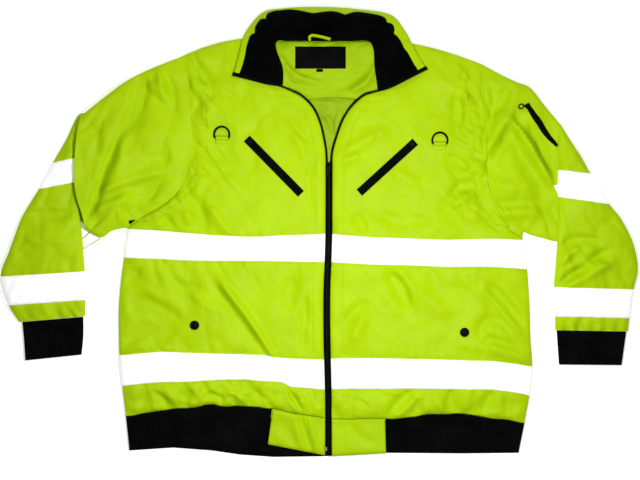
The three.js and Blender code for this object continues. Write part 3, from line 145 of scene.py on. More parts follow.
# Rings of the sleeves: outer edge (ox, oy), inner edge (ix, iy), how much of the armhole's curve the ring
# keeps (bend), and its height. The upper lengths run from the armhole to the elbow, the lower ones on.
UPPER_SLEEVE = {
    "right": columns(
        "ox oy ix iy bend high",
        (-235, 303, -326, 7, 1, 12.5),
        (-288, 282, -335, 8, 0.62, 18),
        (-331, 260, -355, 3, 0.25, 22),
        (-369, 232, -374, -8, 0.08, 23),
        (-409, 200, -401, 6, -0.21, 23),
    ),
    "left": columns(
        "ox oy ix iy bend high",
        (279, 290, 350, -12, 1, 12.5),
        (284, 288, 352, 1, 0.95, 13.5),
        (311, 273, 362, -3, 0.6, 17),
        (338, 260, 376, -7, 0.3, 19),
        (364, 249, 391, -11, 0.1, 18),
        (390, 217, 402, -14, 0, 14),
        (416, 186, 415, -15, 0, 12),
    ),
}
LOWER_SLEEVE = {
    "right": columns(
        "ox oy ix iy high",
        (-398, 206, -392, 205, 9),
        (-414, 201, -395, 195, 10),
        (-434, 160, -405, 165, 11),
        (-457, 120, -408, 131, 12),
        (-481, 75, -410, 89, 13),
        (-508, 30, -410.5, 44, 15),
        (-522, -5, -407, 6, 17),
        (-532, -33, -404, -27, 18),
        (-546, -75, -401, -66, 18),
        (-532, -124, -400, -115, 16),
        (-514, -153, -401, -143, 11),
    ),
    "left": columns(
        "ox oy ix iy high",
        (415.5, 187, 411, 186.5, 14),
        (434, 157, 411, 157, 20),
        (451, 131, 411, 131, 22),
        (467, 102, 412, 108, 23),
        (500, 49, 412, 62, 23),
        (519, 25, 411, 31, 23),
        (537, -9, 410, -3, 22),
        (546, -40, 408, -36, 21),
        (548, -67, 406, -64, 20),
        (541, -97, 404, -93, 19),
        (534, -146, 406, -143, 16),
        (532, -169, 406, -167, 11),
    ),
}
# The rings of the lower sleeves between which the tapes run
ARM_TAPES = {"right": {"upper": (3, 4), "lower": (8, 9)}, "left": {"upper": (3, 4), "lower": (9, 10)}}
CUFFS = {
    "right": columns(
        "ox oy ix iy",
        (-509, -152.9, -404, -143.9),
        (-506, -186, -404, -177),
        (-504, -219, -407, -209),
    ),
    "left": columns(
        "ox oy ix iy",
        (529, -169.4, 409, -167.4),
        (525, -198, 411, -196),
        (521, -227, 413, -226),
    ),
}
# Stations round the collar: neck edge (nx, ny), outer edge (ex, ey), arch, and the fleece's share
COLLAR = columns(
    "nx ny ex ey arch fleece",
    (-61, 253, -145, 275, 4, 0.84),
    (-61, 282, -135, 315, 7, 0.84),
    (-72, 315, -126, 344, 12, 0.78),
    (-70, 329, -97, 378, 18, 0.85),
    (-49, 329, -61, 386, 22, 0.92),
    (-1, 329, -1, 388.5, 24, 0.85),
    (54, 329, 63, 385, 22, 0.87),
    (84, 329, 123, 375, 18, 0.82),
    (94, 315, 149, 347, 12, 0.7),
    (96, 284, 164, 318, 7, 0.78),
    (102, 243, 183, 285, 4, 0.8),
)
# The inside of the back: a row's height on the jacket, and its left and right ends
NECK_FACING = columns(
    "y left right",
    (328, -80, 104),
    (311, -84, 109),
    (287, -77, 108),
    (263, -75, 111),
    (249, -68, 113),
    (229, -38, 86),
)
NECK_LINING = columns(
    "y left right",
    (230, -38, 87),
    (213, -24, 69),
    (187, -12, 55),
    (163, -6, 45),
    (138, -2, 38),
    (119, 4, 32),
)
# The lower edge of the waist rib
RIB_HEM = columns(
    "x y",
    (-325, -374),
    (-250, -369),
    (-183, -374),
    (-135, -381),
    (-77, -385),
    (0, -384),
    (60, -382),
    (116, -378),
    (247, -379),
    (343, -378),
)

# Folds, each along a line bent through three points: rise (a trough is negative), half width, and lean,
# which makes one flank steep: the one on the left of the line where it is positive
FOLD_COLUMNS = "ax ay bx by cx cy rise half lean"
FOLDS = columns(
    FOLD_COLUMNS,
    (-169, -84, -134, -127, -79, -211, 6, 13, -0.5),
    (-176, -96, -140, -138, -84, -214, -4, 11, 0.5),
    (-158, -86, -124, -126, -66, -214, -3.5, 8, -0.3),
    (-225, 79, -208, 52, -192, 5, -4, 15, 0.4),
    (-186, 46, -171, 24, -156, 2, 4, 12, 0.4),
    (-211, 291, -188, 260, -187, 222, -4, 15, 0.3),
    (-197, 239, -194, 208, -187, 177, 4, 11, -0.5),
    (-304, -111, -269, -131, -230, -153, -5, 16, 0.4),
    (-322, -120, -311, -126, -296, -127, -4.5, 11, 0),
    (-333, -190, -307, -175, -280, -161, -4.5, 13, -0.4),
    (-298, -198, -271, -182, -242, -166, -4, 14, -0.4),
    (-318, -200, -288, -187, -262, -181, 2.5, 9, 0),
    (-47, -76, -47, -105, -49, -134, -4, 18, 0.3),
    (-282, -274, -267, -287, -253, -304, -4.5, 9, 0.5),
    (-270, -268, -254, -280, -240, -300, 4, 11, -0.3),
    (-215, -268, -205, -284, -196, -306, 3.5, 10, 0),
    (-182, -280, -172, -290, -163, -298, -3.5, 8, 0),
    (-154, -272, -140, -285, -128, -300, 3.5, 9, 0.4),
    (-108, -270, -102, -288, -99, -306, -3, 8, 0),
    (-50, -267, -40, -287, -29, -310, -5, 6, 0.7),
    (-38, -266, -27, -287, -17, -309, 3, 5, 0),
    (-58, -262, -50, -284, -38, -308, 2.5, 8, 0),
    (-22, -113, -24, -150, -28, -198, -2.5, 8, 0),
    (-329, -83, -318, -72, -306, -60, -3.5, 10, 0.4),
    (-221, -100, -200, -116, -179, -132, 2.6, 9, 0.4),
    (-250, -78, -228, -92, -198, -96, -2.5, 10, 0),
    (-120, -70, -96, -96, -72, -104, -2.2, 15, 0),
    (-282, 42, -262, 24, -246, 8, -3, 8, 0),
    (-306, 22, -276, 34, -252, 62, 3, 9, 0.4),
    (-236, 60, -226, 38, -222, 12, 2.6, 9, 0),
    (-46, 176, -30, 150, -24, 122, 2.2, 9, 0.4),
    (-58, 206, -36, 178, -14, 158, -2.4, 8, 0),
    (-8, 126, -16, 90, -12, 40, -2, 7, 0),
    (239, 237, 240, 208, 236, 177, -5, 15, 0.4),
    (252, 244, 254, 216, 250, 190, 3, 9, 0),
    (223, 134, 240, 124, 259, 112, -4.5, 12, 0.4),
    (39, 139, 71, 153, 113, 177, 4, 13, 0.3),
    (44, 120, 58, 128, 71, 134, -3, 8, 0),
    (233, 76, 250, 84, 267, 86, -4, 12, 0.3),
    (231, 43, 245, 56, 261, 67, 3.5, 9, -0.3),
    (222, 60, 238, 70, 262, 78, -2.5, 8, 0),
    (63, 36, 71, 19, 82, 3, -3.5, 13, 0.3),
    (119, -64, 144, -95, 154, -127, -5, 14, 0.5),
    (132, -60, 156, -90, 166, -120, 3, 10, 0),
    (47, -155, 63, -131, 85, -125, -4, 12, 0.3),
    (78, -143, 66, -165, 58, -186, 3.6, 12, 0),
    (288, -83, 321, -120, 353, -160, -5.5, 16, 0.6),
    (280, -92, 312, -130, 345, -170, 4, 10, -0.5),
    (273, -178, 295, -150, 328, -170, -4.5, 12, -0.4),
    (288, -196, 324, -205, 363, -225, 4.5, 11, 0.5),
    (283, -184, 316, -190, 356, -206, -3.5, 9, 0),
    (116, -308, 137, -289, 159, -272, -4.5, 10, 0.4),
    (128, -312, 150, -296, 172, -280, 3.5, 9, 0),
    (196, -276, 206, -292, 210, -308, 3, 9, 0),
    (230, -270, 224, -290, 228, -306, -3.5, 8, 0),
    (262, -268, 256, -284, 250, -304, 3.2, 9, 0),
    (300, -276, 290, -292, 280, -310, -4, 11, 0.3),
    (170, -100, 196, -118, 214, -150, 2.4, 13, 0),
    (190, -60, 196, -92, 190, -120, -2, 15, 0),
    (120, 110, 150, 96, 176, 70, 2.2, 13, 0.3),
    (100, 30, 150, 20, 196, 26, -2.2, 13, 0),
)
SLEEVE_FOLDS = columns(
    FOLD_COLUMNS,
    (-307, 270, -309, 223, -341, 169, -7, 18, -0.4),
    (-290, 262, -292, 226, -318, 190, 3, 12, 0),
    (-345, 162, -367, 105, -398, 26, -6.5, 13, -0.5),
    (-354, 44, -372, 28, -391, 6, -3.5, 8, 0.3),
    (-330, 168, -350, 112, -372, 50, 3.5, 14, 0),
    (-376, 60, -321, 79, -255, 96, -4.5, 12, 0.4),
    (-372, 70, -318, 90, -258, 108, 3.5, 10, 0.4),
    (-293, 244, -268, 222, -238, 200, -4, 11, 0.4),
    (-262, 272, -250, 246, -246, 214, -3.5, 9, 0.4),
    (-276, 280, -268, 252, -262, 222, 3, 9, 0),
    (-383, 33, -355, 48, -324, 71, 4.5, 12, 0.4),
    (-316, 48, -310, 38, -302, 27, -3.5, 7, 0),
    (-332, 44, -326, 30, -318, 20, -3, 7, 0),
    (-344, 36, -336, 24, -330, 14, 2.5, 6, 0),
    (-322, 62, -296, 62, -268, 76, -3, 9, 0),
    (-300, 130, -276, 126, -244, 130, -2.5, 13, 0),
    (-262, 170, -250, 140, -244, 110, 3, 12, 0),
    (328, 249, 316, 229, 305, 208, -5, 13, 0.4),
    (338, 217, 307, 170, 285, 134, 4.5, 12, 0.5),
    (352, 204, 322, 158, 300, 118, -3.5, 12, 0),
    (330, 194, 362, 152, 405, 78, 7.5, 10, 0.6),
    (322, 176, 350, 130, 392, 60, -3, 14, 0),
    (364, 186, 390, 139, 408, 98, -4.5, 14, 0),
    (295, 53, 338, 52, 388, 57, -3.5, 10, 0.4),
    (300, 30, 340, 36, 384, 30, 3, 10, 0),
    (304, 88, 330, 80, 366, 84, 2.6, 10, 0),
    (296, 250, 300, 216, 292, 180, -3.2, 10, 0.4),
    (415, -86, 450, -60, 494, -29, -5.5, 13, 0.5),
    (420, -96, 452, -76, 500, -52, 4, 10, 0),
    (418, -20, 445, -10, 478, -12, -3.5, 10, 0.3),
    (430, -60, 465, -52, 500, -60, 3.5, 9, 0),
    (416, -56, 430, -36, 452, -22, 3, 8, 0),
    (-495, 34, -465, 31, -433, 33, -3.5, 11, 0.3),
    (-500, -8, -470, -16, -430, -10, 2.6, 11, 0),
    (-420, 150, -432, 120, -450, 84, 2.6, 13, 0.3),
)
NECK_FOLDS = columns(
    FOLD_COLUMNS,
    (-62, 300, -40, 272, -2, 262, 2.2, 8, 0.4),
    (-52, 262, -20, 246, 34, 250, -1.8, 8, 0.3),
    (96, 290, 84, 262, 52, 244, 2.2, 8, -0.4),
    (20, 268, 50, 262, 84, 280, -1.6, 9, 0),
    (-30, 236, 0, 226, 30, 232, 1.5, 7, 0.3),
    (0, 210, 20, 190, 30, 160, 1.5, 7, 0.3),
    (38, 212, 34, 184, 22, 150, -1.5, 7, 0.3),
)
FOLD_BOOST = 0.6

# Where the fittings sit the cloth keeps to its solid: x, y and the clear radius
FITTINGS = columns(
    "x y clear",
    (-165.6, 166, 17),
    (208, 156, 17),
    (-212.4, -158.2, 9),
    (250.3, -170.3, 9),
    (18, 112, 12),
    (13, -371, 8),
    (-117, 157, 8),
    (160, 152, 8),
    (358.6, 218, 16),
    (-318, 21, 10),
)


def smooth_line(a, b, c, d, f):
    return 0.5 * (2 * b + (c - a) * f + (2 * a - 5 * b + 4 * c - d) * f**2 + (3 * b - a - 3 * c + d) * f**3)


# The table's values at s, counted in rows, on a smooth line through its rows
def row_at(rows, s):
    s = np.asarray(s, dtype=float)
    count = len(next(iter(rows.values())))
    i = np.clip(np.floor(s).astype(int), 0, count - 2)
    near = [np.clip(i + k, 0, count - 1) for k in (-1, 0, 1, 2)]
    return {name: smooth_line(*[column[k] for k in near], s - i) for name, column in rows.items()}


# The same as a column, to be spread over a grid
def column_at(rows, s):
    return {name: value[:, None] for name, value in row_at(rows, s).items()}


def width_of(row):
    return np.hypot(row["ox"] - row["ix"], row["oy"] - row["iy"])


def mix(a, b, t):
    return a + (b - a) * t


def ramp(x, low, high):
    t = np.clip((x - low) / (high - low), 0, 1)
    return t * t * (3 - 2 * t)


def fullness(distance, reach):
    left = 1 - np.clip(distance / reach, 0, 1)
    return np.sqrt(1 - left * left)


# 0 below low, 1 from risen to falling, 0 again past gone
def between(x, low, risen, falling, gone):
    return ramp(x, low, risen) * (1 - ramp(x, falling, gone))


def bell(distance, width):
    return np.exp(-((distance / width) ** 2))


def to_ends(t):
    return np.minimum(t, 1 - t)


# Smooth random relief with no repeat in sight, from -1 to 1
def noise(x, y, cell, seed):
    grid = np.random.default_rng(seed).uniform(-1, 1, (97, 97))
    u, v = np.asarray(x) / cell + 500.0, np.asarray(y) / cell + 500.0
    i, j = np.floor(u).astype(int), np.floor(v).astype(int)
    fu, fv = u - i, v - j
    fu, fv = fu**3 * (fu * (fu * 6 - 15) + 10), fv**3 * (fv * (fv * 6 - 15) + 10)
    a, b = grid[i % 97, j % 97], grid[(i + 1) % 97, j % 97]
    c, d = grid[i % 97, (j + 1) % 97], grid[(i + 1) % 97, (j + 1) % 97]
    return mix(mix(a, b, fu), mix(c, d, fu), fv)


# Soft creases: sharp valleys between rounded swells
def crumple(x, y, cell, seed):
    wx = x + cell * 0.6 * noise(x, y, cell * 1.3, seed + 1)
    wy = y + cell * 0.6 * noise(x, y, cell * 1.3, seed + 2)
    return np.abs(noise(wx, wy, cell, seed)) * 2 - 0.7


# Creases drawn out along one direction
def drag(x, y, turn, cell, stretch, seed):
    c, s = math.cos(math.radians(turn)), math.sin(math.radians(turn))
    return crumple((x * c + y * s) / stretch, y * c - x * s, cell, seed)


# 0 beside a fitting, 1 away from them all
def calm(x, y):
    total = np.ones(np.shape(x))
    for fx, fy, clear in zip(FITTINGS["x"], FITTINGS["y"], FITTINGS["clear"]):
        total = total * ramp(np.hypot(x - fx, y - fy), clear, clear + 16)
    return total


FOLD_STEPS = 8


def relief(folds, x, y):
    total = np.zeros(np.shape(x))
    for ax, ay, bx, by, cx, cy, rise, half, lean in zip(*[folds[k] for k in FOLD_COLUMNS.split()]):
        t = np.linspace(0, 1, FOLD_STEPS + 1)
        # A curve through the three points
        mx, my = 2 * bx - (ax + cx) / 2, 2 * by - (ay + cy) / 2
        px = (1 - t) ** 2 * ax + 2 * t * (1 - t) * mx + t**2 * cx
        py = (1 - t) ** 2 * ay + 2 * t * (1 - t) * my + t**2 * cy
        near = np.full(np.shape(x), 1e9)
        along = np.zeros(np.shape(x))
        hand = np.ones(np.shape(x))
        for k in range(FOLD_STEPS):
            dx, dy = px[k + 1] - px[k], py[k + 1] - py[k]
            share = np.clip(((x - px[k]) * dx + (y - py[k]) * dy) / (dx * dx + dy * dy), 0, 1)
            away = np.hypot(x - px[k] - share * dx, y - py[k] - share * dy)
            closer = away < near
            near = np.where(closer, away, near)
            along = np.where(closer, (k + share) / FOLD_STEPS, along)
            hand = np.where(closer, np.sign(dx * (y - py[k]) - dy * (x - px[k])), hand)
        fade = 1 - np.abs(2 * along - 1) ** 4 * 0.7
        steep = np.where(hand * lean > 0, 1 - 0.65 * abs(lean), 1 + 0.3 * abs(lean))
        width = half * (1 - 0.35 * np.abs(2 * along - 1)) * steep
        total += rise * fade * bell(near, width)
    return total


BACK_WALL = {"seam": 3, "padded": 6.5, "armhole": 4.5, "side": 26, "end": 22}
FRONT_WALL = {"seam": 3, "padded": 8.2, "armhole": 6.4, "side": 26, "end": 20, "zip": 14, "hem": 10}
UNDERSIDE = {"round": 1.2, "reach": 4, "recess": 1.4}
LAYER_SLIT = 0.6
LEAST_WALL = 1.6
NECK_LIFT = {"height": 1.9, "near": 24, "far": 74, "from_row": 10.8, "to_row": 12}
SIDE_FADE = 30
PLACKET_STITCH = 19.0


def padded(wall, to_side, s):
    armhole = between(s, 0, 1.5, 12, ARMPIT_ROW)
    seam = mix(wall["seam"], wall["armhole"], armhole)
    top = fullness(s * ROW_PITCH, wall["end"])
    hem = fullness((LAST_ROW - s) * ROW_PITCH, wall["end"])
    return seam + (wall["padded"] - seam) * fullness(to_side, wall["side"]) * top * hem


# Puckers along a sewn line: short waves across it that die away from it
def pucker(along, away, reach, pitch, height, seed):
    phase = along / pitch * 2 * math.pi + 2.5 * noise(along, away * 0.3, pitch * 3.1, seed)
    depth = 0.55 + 0.45 * noise(along, along * 0, pitch * 4.7, seed + 5)
    return height * depth * np.sin(phase) * bell(away, reach)


# How far the tapes' edges and the hem wander: the chest tape, the waist tape's top and foot, the hem
TAPE_WAVE = {
    "right": columns(
        "x chest under top foot hem",
        (-330, 0, 0, 0, 1, 0),
        (-270, 1.5, 1.5, 3, 2, 6),
        (-230, 0.5, 1, 0.5, 0.5, 8),
        (-180, -1, 2, -1, 3, 13),
        (-125, -2.5, 3, -1, 5, 11),
        (-95, -2, 3, -0.5, 4, 10),
        (-78, -1, 2.8, -3, 4.5, 11),
        (-62, 0, 2.4, -3.5, 4.5, 8),
        (-48, 0, 2, -3.5, -2.5, 5),
        (12, 0.5, 0, -0.5, -1, 0),
    ),
    "left": columns(
        "x chest under top foot hem",
        (22, 0, 0, 0, 0, 0),
        (90, -1.5, -1.5, -0.5, -1.5, -5),
        (114, -1, -1, -1, -1.5, -7),
        (150, -0.5, -0.5, -1.5, -1, -4),
        (220, -1, -1, -0.5, 0.5, 1.5),
        (262, 1, 1, 0.5, 2.5, 2.5),
        (300, 2, 2, 3, 5, 1),
        (360, 0, 0, 1, 3, 0),
    ),
}
WAVE_ROWS = {"chest": 14, "under": 15, "top": 19, "foot": 20}
HEM_RIPPLE = {"height": 2, "cell": 27, "seed": 401, "from_row": 20.2}


def front_point(side, s, w):
    row = row_at(FRONT[side], s)
    length = width_of(row)
    x = mix(row["ix"], row["ox"], w)
    y = mix(row["iy"], row["oy"], w) + row["bow"] * 4 * w * (1 - w)
    to_zip, to_side = w * length, (1 - w) * length
    lift = NECK_LIFT["height"] * (1 - ramp(to_zip, NECK_LIFT["near"], NECK_LIFT["far"]))
    lift = lift * (1 - ramp(s, NECK_LIFT["from_row"], NECK_LIFT["to_row"]))
    low = padded(BACK_WALL, to_side, s) + LAYER_SLIT + lift
    zip_side = fullness(to_zip, FRONT_WALL["zip"])
    wall = mix(FRONT_WALL["seam"], padded(FRONT_WALL, to_side, s), zip_side)
    ends = fullness(s * ROW_PITCH, FRONT_WALL["end"])
    ends = ends * fullness((LAST_ROW - s) * ROW_PITCH, FRONT_WALL["hem"])
    fade = fullness(to_side, SIDE_FADE) * zip_side * ends
    open_cloth = calm(x, y)
    folds = relief(FOLDS, x, y) * (1 + FOLD_BOOST * open_cloth)
    shape = folds + front_detail(side, x, y, s, to_zip, to_side) * open_cloth
    height = np.maximum(low + wall + shape * fade, low + LEAST_WALL)
    wave = {name: np.interp(x, TAPE_WAVE[side]["x"], TAPE_WAVE[side][name]) for name in TAPE_WAVE[side]}
    shift = sum(wave[name] * (1 - np.clip(np.abs(s - at), 0, 1)) for name, at in WAVE_ROWS.items())
    hem = wave["hem"] + HEM_RIPPLE["height"] * noise(x, x * 0, HEM_RIPPLE["cell"], HEM_RIPPLE["seed"])
    shift = shift + hem * ramp(s, HEM_RIPPLE["from_row"], LAST_ROW)
    return x, y + shift * fullness(to_side, SIDE_FADE), low, height


# Flat facets that meet in crisp creases, as a coated cloth folds
def facets(x, y, cell, seed):
    wx = x + cell * 0.5 * noise(x, y, cell * 1.7, seed + 1)
    wy = y + cell * 0.5 * noise(x, y, cell * 1.7, seed + 2)
    lean_one = noise(wx, wy, cell, seed + 3)
    lean_two = noise(wx + cell, wy - cell, cell * 0.8, seed + 4)
    return np.maximum(lean_one, lean_two) * 1.5 - 0.45


# The first seed of each front's relief, and the direction of its long creases in degrees
FRONT_GRAIN = {"right": (11, -55), "left": (23, -40)}
# The tapes' edges: row, and how far the puckers beside it reach
TAPE_EDGES = ((14, 10), (15, 12), (19, 12), (20, 12))


# The front's finer relief, a sum of terms: a height in mm times a relief of a cell or pitch in mm
def front_detail(side, x, y, s, to_zip, to_side):
    seed, turn = FRONT_GRAIN[side]
    soft = 1.9 * facets(x, y, 58, seed) + 1.2 * facets(x, y, 27, seed + 7)
    soft = soft + 1.4 * drag(x, y, turn, 24, 3.2, seed + 13) * (0.35 + 0.65 * ramp(to_zip, 30, 170))
    near_side = 0.55 + 0.75 * bell(to_side - 20, 70)
    soft = soft * mix(1.5 * near_side, 1.0, ramp(s, 12, 15))
    stitched = -0.9 * bell(to_zip - PLACKET_STITCH, 2.2) * ramp(s, 4, 6)
    from_hem = (LAST_ROW - s) * ROW_PITCH
    gathers = pucker(x, from_hem, 38, 33, 2.6, seed + 31) + pucker(x, from_hem, 17, 13, 1.1, seed + 37)
    gathers = gathers + 2.2 * facets(x, y, 19, seed + 41) * (1 - ramp(from_hem, 26, 60))
    gathers = gathers * ramp(from_hem, 0, 9)
    tape_edges = 0
    for edge, reach in TAPE_EDGES:
        away = np.abs(s - edge) * ROW_PITCH
        tape_edges = tape_edges - 0.9 * bell(away, 3.2) + pucker(x, away, reach, 19, 0.45, seed + edge)
    on_tape = between(s, 13.9, 14.1, 14.9, 15.1) + between(s, 18.9, 19.1, 19.9, 20.1)
    armhole = pucker(y, to_side - 10, 26, 27, 1.9, seed + 51) * (1 - ramp(s, 12, 14))
    armhole = armhole - 1.1 * bell(to_side - 21, 2.6) * (1 - ramp(s, 12, 13.5))
    near_armhole = bell(to_side, 40) * (1 - ramp(s, 11.5, 13.8))
    small = 1.9 * facets(x, y, 21, seed + 71) + 3.4 * drag(x, y, turn, 15, 3.6, seed + 77)
    armhole = armhole + small * near_armhole
    zip_pucker = pucker(y, to_zip - PLACKET_STITCH, 9, 12, 0.6, seed + 61)
    return soft * (1 - 0.7 * on_tape) + stitched + gathers + tape_edges + armhole + zip_pucker


def back_point(s, w):
    right, left = row_at(FRONT["right"], s), row_at(FRONT["left"], s)
    x = mix(right["ox"], left["ox"], w)
    rise = np.interp(w, BACK_TOP_EDGE["share"], BACK_TOP_EDGE["rise"]) * np.clip(1 - s / 5, 0, 1)
    y = mix(right["oy"], left["oy"], w) + rise
    to_side = to_ends(w) * (left["ox"] - right["ox"])
    to_end = np.minimum(s, LAST_ROW - s) * ROW_PITCH
    turn = 1 - fullness(np.minimum(to_side, to_end), UNDERSIDE["reach"])
    taped = between(s, 13.93, 14, 15, 15.07) + between(s, 18.95, 19, 20, 20.05)
    low = np.maximum(UNDERSIDE["round"] * turn, UNDERSIDE["recess"] * taped)
    return x, y, low, padded(BACK_WALL, to_side, s)


SURFACES = {}


def to_frame(points):
    flat = np.asarray(points, dtype=float).reshape(-1, 3).copy()
    flat[:, 0] -= MIDDLE[0]
    flat[:, 1] -= MIDDLE[1]
    return flat * MM


def add_mesh(name, points, faces, smooth=True):
    mesh = bpy.data.meshes.new(name)
    mesh.from_pydata(to_frame(points).tolist(), [], faces)
    mesh.update()
    if smooth:
        mesh.shade_smooth()
    piece = bpy.data.objects.new(name, mesh)
    bpy.context.scene.collection.objects.link(piece)
    return piece


def grid_faces(rows, across, start=0, flip=False, closed=False):
    r, c = np.meshgrid(np.arange(rows - 1), np.arange(across if closed else across - 1), indexing="ij")
    after = (c + 1) % across
    quads = np.stack([r * across + c, (r + 1) * across + c, (r + 1) * across + after, r * across + after], -1)
    quads = quads.reshape(-1, 4) + start
    return (quads[:, ::-1] if flip else quads).tolist()


# A closed sheet between a grid of face points and a grid of underside points
def slab(name, top, bottom):
    rows, across = top.shape[:2]
    count = rows * across
    faces = grid_faces(rows, across) + grid_faces(rows, across, count, flip=True)
    at = np.arange(count).reshape(rows, across)
    rim = np.concatenate([at[0], at[1:, -1], at[-1, -2::-1], at[-2:0:-1, 0]]).tolist()
    faces += [[a, b, b + count, a + count] for a, b in zip(rim, rim[1:] + rim[:1])]
    down, right = top[1:, :-1] - top[:-1, :-1], top[:-1, 1:] - top[:-1, :-1]
    if np.sum(np.cross(down, right)[..., 2]) < 0:
        faces = [face[::-1] for face in faces]
    return add_mesh(name, np.concatenate([top.reshape(-1, 3), bottom.reshape(-1, 3)]), faces)


# A closed flattened tube: outer rings and as many inner rings, joined at both ends
def tube(name, outer, inner):
    rings, around = outer.shape[:2]
    count = rings * around
    faces = grid_faces(rings, around, closed=True)
    faces += grid_faces(rings, around, count, flip=True, closed=True)
    last = count - around
    for k in range(around):
        n = (k + 1) % around
        faces.append([k, n, count + n, count + k])
        faces.append([last + n, last + k, count + last + k, count + last + n])
    points = np.concatenate([outer.reshape(-1, 3), inner.reshape(-1, 3)])
    middle = outer.mean(axis=(0, 1))
    a, b, c = (points[[f[i] for f in faces[: rings - 1]]] for i in (0, 1, 2))
    if np.sum(np.cross(b - a, c - a) * (a - middle)) < 0:
        faces = [face[::-1] for face in faces]
    return add_mesh(name, points, faces)


def xyz(x, y, z):
    return np.stack(np.broadcast_arrays(x, y, z), -1).astype(float)


# Surfaces that later pieces are laid on
def surface(name, grid):
    rows, across = grid.shape[:2]
    SURFACES[name] = BVHTree.FromPolygons(grid.reshape(-1, 3).tolist(), grid_faces(rows, across))


DOWN = Vector((0, 0, -1))
RAY_START = 200.0


# The highest point of the named surfaces at x, y, or within reach of it
def rest(names, x, y, level=0.0, reach=0.0):
    highest = level
    steps = (0.0,) if reach == 0 else (-reach, 0.0, reach)
    for name in names:
        for dx in steps:
            for dy in steps:
                hit = SURFACES[name].ray_cast(Vector((float(x) + dx, float(y) + dy, RAY_START)), DOWN)[0]
                if hit is not None and hit.z > highest:
                    highest = hit.z
    return highest


def rest_grid(names, x, y, level=0.0, reach=0.0):
    x, y = np.broadcast_arrays(x, y)
    values = [rest(names, px, py, level, reach) for px, py in zip(x.ravel(), y.ravel())]
    return np.array(values).reshape(x.shape)


# Materials. A node's inputs are set to values, or linked to other nodes' outputs.
def feed(tree, made, **inputs):
    for key, value in inputs.items():
        socket = made.inputs[key.replace("_", " ")]
        if isinstance(value, bpy.types.NodeSocket):
            tree.links.new(value, socket)
        else:
            socket.default_value = value
    return made


def node(tree, kind, **inputs):
    return feed(tree, tree.nodes.new(kind), **inputs)


def material(name, colour, roughness, metallic=0.0):
    made = bpy.data.materials.new(name)
    made.use_nodes = True
    tree = made.node_tree
    shader = tree.nodes["Principled BSDF"]
    feed(tree, shader, Base_Color=(*colour, 1), Roughness=roughness, Metallic=metallic)
    return made, tree, shader


def own_place(tree):
    return node(tree, "ShaderNodeTexCoord").outputs["Object"]


def noise_node(tree, vector, scale, detail=2.0, rough=0.5):
    made = node(tree, "ShaderNodeTexNoise", Vector=vector, Scale=scale, Detail=detail, Roughness=rough)
    return made.outputs["Fac"]


def wave_node(tree, vector, scale, direction):
    made = node(tree, "ShaderNodeTexWave", Vector=vector, Scale=scale)
    made.bands_direction = direction
    return made.outputs["Fac"]


def product(tree, a, b):
    made = tree.nodes.new("ShaderNodeMath")
    made.operation = "MULTIPLY"
    for socket, value in zip(made.inputs, (a, b)):
        tree.links.new(value, socket)
    return made.outputs[0]


def colour_ramp(tree, factor, low, high):
    made = node(tree, "ShaderNodeValToRGB", Fac=factor)
    for element, position, colour in zip(made.color_ramp.elements, (0.3, 0.7), (low, high)):
        element.position = position
        element.color = (*colour, 1)
    return made.outputs["Color"]


# A bump of a depth in mm, over another one where there is one
def bump(tree, shader, height, depth, strength=1.0, **under):
    made = node(tree, "ShaderNodeBump", Height=height, Strength=strength, Distance=depth * MM, **under)
    feed(tree, shader, Normal=made.outputs["Normal"])
    return made.outputs["Normal"]


WAVE_PER_METRE = 2 * math.pi / 20  # a wave node's scale for one band to the metre
BLOTCHES = (22, 4, 0.6)
CRINKLES = (120, 3, 0.6)
THREAD = {"depth": 0.05, "strength": 0.6}
METAL_GLOSS = {False: 0.05, True: 0.5}


def woven(name, low, high, roughness, thread, sheen=0.0, crinkle=0.25, gloss=0.06):
    made, tree, shader = material(name, high, roughness)
    feed(tree, shader, Specular_IOR_Level=gloss, Sheen_Weight=sheen, Sheen_Roughness=0.4)
    vector = own_place(tree)
    feed(tree, shader, Base_Color=colour_ramp(tree, noise_node(tree, vector, *BLOTCHES), low, high))
    first = bump(tree, shader, noise_node(tree, vector, *CRINKLES), crinkle)
    across, down = (wave_node(tree, vector, WAVE_PER_METRE / (thread * MM), way) for way in "XY")
    bump(tree, shader, product(tree, across, down), THREAD["depth"], THREAD["strength"], Normal=first)
    return made


def metal(name, colour, roughness, metallic):
    made, tree, shader = material(name, colour, roughness, metallic)
    feed(tree, shader, Specular_IOR_Level=METAL_GLOSS[metallic > 0])
    vector = own_place(tree)
    wear = noise_node(tree, vector, 400, 3)
    feed(tree, shader, Base_Color=colour_ramp(tree, wear, colour, tuple(c * 1.6 for c in colour)))
    bump(tree, shader, noise_node(tree, vector, 900, 2), 0.03, 0.4)
    return made


BLACK = (0.001, 0.001, 0.001)
CHARCOAL = (0.003, 0.003, 0.003)
PILE_DARK, PILE_LIGHT = (0.0005, 0.0005, 0.0005), (0.002, 0.002, 0.002)
TAPE_DARK, TAPE_LIGHT = (0.93, 0.935, 0.93), (0.97, 0.975, 0.97)
